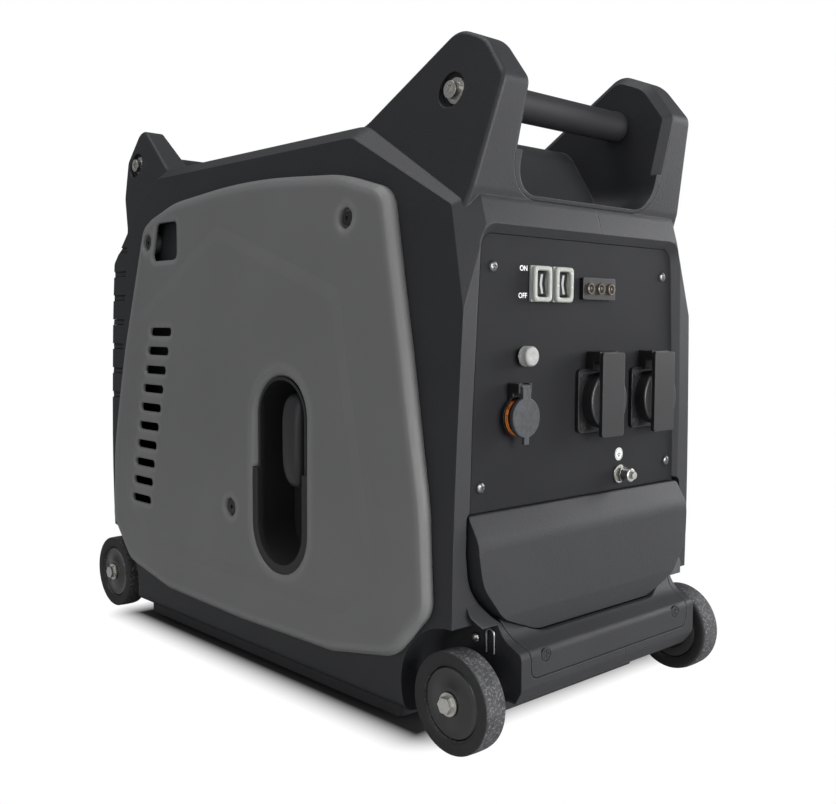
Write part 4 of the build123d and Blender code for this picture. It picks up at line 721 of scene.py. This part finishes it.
class GENERATOR_OT_fittings(bpy.types.Operator):
    """Shape the breaker's cap, the lamps, the 12 V ring, the panel's screws and the switch frames."""

    bl_idname = "generator.fittings"
    bl_label = "Panel fittings"

    def execute(self, context):
        self.breaker_cap()
        self.lamps()
        self.ring()
        self.screws()
        self.switches()
        return {"FINISHED"}

    def switches(self):
        """Cloudy frames round the rockers, |x / a|^8 + |z / b|^8 = 1, and a pale bar down each rocker."""
        low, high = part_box("switch_boots")
        back = low.y + 0.8 * MM
        outer, inner = (10.2 * MM, 13.2 * MM), (6.7 * MM, 9.9 * MM)
        loops = [(outer, back), (outer, high.y), (inner, high.y), (inner, back),
                 ((7.5 * MM, 10.7 * MM), low.y), ((9.4 * MM, 12.4 * MM), low.y)]
        t = np.linspace(0, 2 * pi, 96, endpoint=False)
        c, d = (np.sign(f(t)) * np.abs(f(t)) ** 0.25 for f in (np.cos, np.sin))
        middle = (low.z + high.z) / 2
        bar_half, bar_start, bar_end, bar_proud = 7.2, 0.6 * MM, 3.0 * MM, 0.35 * MM
        frames = []
        for node, body in (("rocker_left", "economy_rocker"), ("rocker_right", "engine_rocker")):
            near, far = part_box(node)
            x = (near.x + far.x) / 2
            points = np.stack([np.stack([x + a * c, np.full_like(t, y), middle + b * d], -1)
                               for (a, b), y in loops])
            frames.append(grid_mesh(f"frame_{node}", points, wrap_u=True, wrap_v=True))
            heights = np.linspace(-bar_half, bar_half, 13)
            face = near.y + (2.4 - np.interp(heights, (-8.4, 0, 8.4), (2.4, 0.6, 1.9))) * MM
            section = ((bar_start, 0), (bar_end, 0), (bar_end, bar_proud), (bar_start, bar_proud))
            bar = np.stack([np.stack([np.full(13, x + a), face - b, middle + heights * MM], -1)
                            for a, b in section], 1)
            piece = tidy(grid_mesh(f"bar_{node}", closed_ends(bar), wrap_v=True, smooth=False))
            dress(piece, finishes()["switch_frame"], body, "switch_frame")
        boots = tidy(joined("switch_windows", frames))
        dress(boots, finishes()["clear_cover"], "frame", "clear_cover", "switch_boots")

    def breaker_cap(self):
        """Milky cap over the breaker: radius R - r (1 - cos 2 pi n s) down its side, for n ribs."""
        low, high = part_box("breaker_boot")
        radius, front, back = (high.x - low.x) / 2, low.y, high.y
        centre = ((low.x + high.x) / 2, 0, (low.z + high.z) / 2)
        rib_count, rib_depth, bore, pin = 3, 0.35 * MM, 6.85 * MM, 3 * MM
        top, roof, skirt = front + 1.7 * MM, front + 3.1 * MM, front + 8 * MM
        share = np.linspace(0, 1, 37)
        side = radius - rib_depth * (1 - np.cos(2 * pi * rib_count * share))
        ribs = list(zip(top + share * (skirt - top), side))
        face = [(front + 0.5 * MM, 0), (front + 0.5 * MM, 2.8 * MM), (front + 0.1 * MM, 3.3 * MM),
                (front, 4.0 * MM)]
        shoulder = arc((front + 1.5 * MM, radius - 1.9 * MM), 1.5 * MM, 180, 110)
        inside = [(skirt, bore), (roof, bore), (roof, pin), (back, pin), (back, 0)]
        boot = turned("breaker_cap", face + shoulder + ribs + inside, centre, "Y", 96)
        dress(boot, finishes()["breaker_boot"], "breaker_button", "breaker_boot", "breaker_boot")

    def lamps(self):
        """Three pale bezels, each round a dark domed lens."""
        low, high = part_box("indicator_lamps")
        radius, middle, front, back = (high.z - low.z) / 2, (low.z + high.z) / 2, low.y, high.y
        inner, lip = radius - 1.0 * MM, 0.5 * MM
        lens, seat, rise = inner - 0.1 * MM, front + 2.2 * MM, 1.3 * MM
        rounding = arc((front + lip, radius - lip), lip, 90, 180, 5)
        bezel = [(back, radius), (front + 0.7 * MM, radius), *rounding, (front + lip, inner), (back, inner)]
        dome = [(seat - rise * cos(t), lens * sin(t)) for t in np.linspace(0, pi / 2, 9)]
        bezels, lenses = [], []
        for i, x in enumerate((low.x + radius, (low.x + high.x) / 2, high.x - radius)):
            bezels.append(ring_body(f"bezel_{i}", bezel, (x, 0, middle), "Y", 48))
            lenses.append(turned(f"lens_{i}", dome + [(back, lens), (back, 0)], (x, 0, middle), "Y", 48))
        rings = tidy(joined("lamp_bezels", bezels))
        dress(rings, finishes()["lamp"], "frame", "lamp", "indicator_lamps")
        glass = tidy(joined("lamp_lenses", lenses))
        dark = moulded("lamp lens", (0.02, 0.015, 0.012), 0.12, 1500.0, 0.00001, gloss=0.8, wear_and_highlight=0.0,
                       edge=0.0)
        dress(glass, dark, "frame", "lamp")

    def ring(self):
        """Ring of two beads: radius R - b + b |sin 2 pi s| along its width."""
        low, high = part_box("dc_ring")
        radius, width = (high.x - low.x) / 2, high.y - low.y
        bead, bore = 0.7 * MM, radius - 1.85 * MM
        centre = ((low.x + high.x) / 2, 0, (low.z + high.z) / 2)
        share = np.linspace(0, 1, 33)
        beads = [(low.y + s * width, radius - bead * (1 - abs(sin(2 * pi * s)))) for s in share]
        ring = ring_body("outlet_ring", beads + [(high.y, bore), (low.y, bore)], centre, "Y", 128)
        dress(ring, finishes()["copper"], "frame", "copper", "dc_ring")

    def screws(self):
        """Heads of height h (1 - s^2)^(1/2), s from middle to rim, less a cross recess with sloping sides."""
        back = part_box("panel_screws")[1].y
        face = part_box("control_panel")[0].y
        seat, top = face - 0.15 * MM, face - 1 * MM
        head_radius, head_height, shank_radius = 4.2 * MM, 2.1 * MM, 2.0 * MM
        arm_reach, arm_half, recess = 2.5 * MM, 0.55 * MM, 1.0 * MM
        rings = np.linspace(0, 1, 30)[:, None]
        angle = np.linspace(0, 2 * pi, 96, endpoint=False)[None, :]
        radius = head_radius * rings
        across, up = radius * np.cos(angle), radius * np.sin(angle)
        dome = head_height * np.sqrt(np.maximum(1 - (rings * 0.995) ** 2, 0)) + 0 * angle
        arm = self.step(arm_reach - np.abs(across)) * self.step(arm_half - np.abs(up))
        other = self.step(arm_reach - np.abs(up)) * self.step(arm_half - np.abs(across))
        height = dome - recess * np.maximum(arm, other)
        shank = [(top, 0), (top, shank_radius), (back, shank_radius), (back, 0)]
        heads = []
        for i, (x, z) in enumerate(PANEL_SCREWS):
            front = np.stack([x * MM + across, seat - height, z * MM + up], -1)
            rim = front[-1:].copy()
            rim[..., 1] = seat
            points = closed_ends(np.concatenate([front[1:], rim]))
            heads += [tidy(grid_mesh(f"head_{i}", points, wrap_v=True)),
                      turned(f"shank_{i}", shank, (x * MM, 0, z * MM), "Y", 24)]
        screws = joined("panel_screw_heads", heads)
        dress(screws, finishes()["panel_zinc"], "frame", "zinc", "panel_screws")

    @staticmethod
    def step(value):
        """0 below zero and 1 above 0.15 mm, rising by 3 s^2 - 2 s^3 between them."""
        share = np.clip(value / (0.15 * MM), 0, 1)
        return share * share * (3 - 2 * share)


class GENERATOR_OT_markings(bpy.types.Operator):
    """Print ON and OFF beside the switches and the earth mark above its stud."""

    bl_idname = "generator.markings"
    bl_label = "Markings"

    def execute(self, context):
        paint = moulded("marking paint", rgb("lettering"), 0.5, 2000.0, 0.00001, mottle=0.1, edge=0.0,
                        wear_and_highlight=0.0)
        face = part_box("control_panel")[0].y - 0.05 * MM
        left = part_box("switch_bodies")[0].x
        low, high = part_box("rocker_left")
        rise, middle = (high.z - low.z) / 2, (low.z + high.z) / 2
        letter, disc, film, above_stud = 5.4 * MM, 5.2 * MM, 0.1 * MM, 16.3 * MM
        marks = [self.word("ON", (left - 6.0 * MM, face, middle + rise * 1.05), letter),
                 self.word("OFF", (left - 6.8 * MM, face, middle - rise * 1.25), letter)]
        stud_low, stud_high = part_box("earth_knob")
        x, z = (stud_low.x + stud_high.x) / 2, (stud_low.z + stud_high.z) / 2 + above_stud
        profile = [(face, 0), (face, disc), (face - film, disc), (face - film, 0)]
        marks.append(turned("earth_disc", profile, (x, 0, z), "Y", 48))
        symbol = self.earth(x, face - 0.12 * MM, z, film)
        prints = (("panel_markings", marks, paint, "switch_frame"),
                  ("earth_symbol", symbol, finishes()["panel_sheet"], "panel_sheet"))
        for name, pieces, finish, slot in prints:
            piece = joined(name, pieces)
            piece.data.polygons.foreach_set("use_smooth", np.full(len(piece.data.polygons), False))
            dress(piece, finish, "frame", slot)
        return {"FINISHED"}

    def word(self, text, place, height):
        """Thin raised letters, turned upright and moved to their place."""
        curve = bpy.data.curves.new(text, "FONT")
        curve.body = text
        curve.size = height
        curve.align_x = "CENTER"
        curve.offset = height * 0.012
        curve.extrude = 0.05 * MM
        letters = bpy.data.objects.new(text, curve)
        bpy.context.scene.collection.objects.link(letters)
        bpy.context.view_layer.update()
        mesh = bpy.data.meshes.new_from_object(letters)
        bpy.data.objects.remove(letters)
        mesh.transform(Matrix.Translation(place) @ Matrix.Rotation(pi / 2, 4, "X"))
        return placed(text, mesh)

    def earth(self, x, y, z, film):
        """Ring, stem and three shortening bars: each is a flat ring or box on the white disc."""
        inner, outer = 4.1 * MM, 4.6 * MM
        profile = [(y, inner), (y, outer), (y - film, outer), (y - film, inner)]
        pieces = [ring_body("earth_ring", profile, (x, 0, z), "Y", 48)]
        for i, (half_x, half_z, up) in enumerate(EARTH_BARS):
            low = (x / MM - half_x, (y - film) / MM, z / MM + up - half_z)
            high = (x / MM + half_x, y / MM, z / MM + up + half_z)
            pieces.append(slab(f"earth_bar_{i}", low, high))
        return pieces


class GENERATOR_OT_stage(bpy.types.Operator):
    """Set the floor, the lamps, the world and the camera."""

    bl_idname = "generator.stage"
    bl_label = "Stage"

    def execute(self, context):
        scene = context.scene
        scene.view_settings.view_transform = "Standard"
        self.floor()
        self.world(scene)
        for lamp in LAMPS:
            self.lamp(*lamp)
        self.camera(scene)
        return {"FINISHED"}

    def floor(self):
        """Disc (r cos t, r sin t) just below the wheels, with a painted shadow: dark under the tray, white
        past it.

        The camera and rays through clear pieces see it as plain white from 35 mm past the tray.
        """
        painted_shadow_half = (137 * MM, 215 * MM)
        radius = np.linspace(0, 9.0, 10)[:, None]
        angle = np.linspace(0, 2 * pi, 96, endpoint=False)[None, :]
        points = np.stack([radius * np.cos(angle), radius * np.sin(angle), 0 * radius * angle - 0.2 * MM], -1)
        floor = tidy(grid_mesh("floor", points, wrap_v=True))
        tree = Tree("floor")
        white = bpy.context.scene.generator_settings.stage_white
        tree.set(Roughness=0.7, Specular_IOR_Level=0.1)
        glow = tree.nodes.new("ShaderNodeEmission")
        blend = tree.nodes.new("ShaderNodeMixShader")
        path = tree.nodes.new("ShaderNodeLightPath")
        past = [tree.math("MAXIMUM", tree.math("SUBTRACT", tree.math("ABSOLUTE", axis), half), 0.0)
                for axis, half in zip(tree.axes(), painted_shadow_half)]
        reach = tree.hypotenuse(*past)
        # Painted shadow: near-black colour under the tray, turning white within 30 mm past it.
        base = tree.mix(tree.ramp(reach, 0.0, 0.03), (0.06, 0.06, 0.06, 1.0), (white, white, white, 1.0))
        tree.feed(base, tree.shader.inputs["Base Color"])
        seen = tree.math("MAXIMUM", path.outputs["Is Camera Ray"], path.outputs["Is Transmission Ray"])
        tree.feed(tree.math("MULTIPLY", tree.ramp(reach, 0.0, 0.035), seen), blend.inputs[0])
        tree.feed(tree.shader.outputs[0], blend.inputs[1])
        tree.feed(glow.outputs[0], blend.inputs[2])
        tree.feed(blend.outputs[0], tree.output.inputs["Surface"])
        floor.data.materials.append(tree.material)

    def world(self, scene):
        """White to the camera and through clear pieces, and a faint cool fill to everything else."""
        world = bpy.data.worlds.new("studio")
        scene.world = world
        world.use_nodes = True
        nodes, links = world.node_tree.nodes, world.node_tree.links
        seen_by_eye = nodes["Background"]
        seen_by_eye.inputs["Color"].default_value = (1, 1, 1, 1)
        seen_by_eye.inputs["Strength"].default_value = 1.0
        fill = nodes.new("ShaderNodeBackground")
        fill.inputs["Color"].default_value = (0.95, 0.97, 1.0, 1)
        fill.inputs["Strength"].default_value = 0.25
        path = nodes.new("ShaderNodeLightPath")
        either = nodes.new("ShaderNodeMath")
        either.operation = "MAXIMUM"
        links.new(path.outputs["Is Camera Ray"], either.inputs[0])
        links.new(path.outputs["Is Transmission Ray"], either.inputs[1])
        blend = nodes.new("ShaderNodeMixShader")
        links.new(either.outputs[0], blend.inputs[0])
        links.new(fill.outputs[0], blend.inputs[1])
        links.new(seen_by_eye.outputs[0], blend.inputs[2])
        links.new(blend.outputs[0], nodes["World Output"].inputs["Surface"])

    def lamp(self, name, place, size, power):
        """Square lamp that faces the generator's middle."""
        data = bpy.data.lights.new(name, "AREA")
        data.shape = "SQUARE"
        data.size = size
        data.energy = power
        lamp = bpy.data.objects.new(name, data)
        lamp.location = place
        lamp.rotation_euler = (Vector(LAMP_TARGET) - Vector(place)).to_track_quat("-Z", "Y").to_euler()
        bpy.context.scene.collection.objects.link(lamp)

    def camera(self, scene):
        """Camera whose axes are worked out from its yaw, pitch and roll."""
        yaw, pitch, roll = CAMERA_TURN
        ahead = Vector((sin(yaw) * cos(pitch), cos(yaw) * cos(pitch), sin(pitch)))
        level = Vector((cos(yaw), -sin(yaw), 0))
        above = level.cross(ahead)
        right = cos(roll) * level + sin(roll) * above
        up = -sin(roll) * level + cos(roll) * above
        data = bpy.data.cameras.new("camera")
        data.lens = CAMERA_LENS
        data.sensor_width = 36.0
        data.shift_x, data.shift_y = CAMERA_SHIFT
        data.clip_start = 0.05
        camera = bpy.data.objects.new("camera", data)
        turn = Matrix((right, up, -ahead)).transposed().to_4x4()
        camera.matrix_world = Matrix.Translation(CAMERA_SPOT) @ turn
        scene.collection.objects.link(camera)
        scene.camera = camera


class GENERATOR_PT_panel(bpy.types.Panel):
    """Settings and steps of the generator."""

    bl_label = "Generator"
    bl_idname = "GENERATOR_PT_panel"
    bl_space_type = "VIEW_3D"
    bl_region_type = "UI"
    bl_category = "Generator"

    def draw(self, context):
        settings = context.scene.generator_settings
        for key in GeneratorSettings.__annotations__:
            self.layout.prop(settings, key)
        for step in STEPS:
            self.layout.operator(step.bl_idname)


STEPS = (GENERATOR_OT_stage, GENERATOR_OT_finishes, GENERATOR_OT_wheels, GENERATOR_OT_sleeves,
         GENERATOR_OT_grip, GENERATOR_OT_rope, GENERATOR_OT_hollows, GENERATOR_OT_fittings,
         GENERATOR_OT_markings)


def register():
    for entry in (GeneratorSettings, *STEPS, GENERATOR_PT_panel):
        bpy.utils.register_class(entry)
    bpy.types.Scene.generator_settings = bpy.props.PointerProperty(type=GeneratorSettings)


def unregister():
    del bpy.types.Scene.generator_settings
    for entry in (GENERATOR_PT_panel, *reversed(STEPS), GeneratorSettings):
        bpy.utils.unregister_class(entry)


def main():
    """Builds everything in order."""
    register()
    for step in STEPS:
        group, name = step.bl_idname.split(".")
        getattr(getattr(bpy.ops, group), name)()


if __name__ == "__main__":
    main()
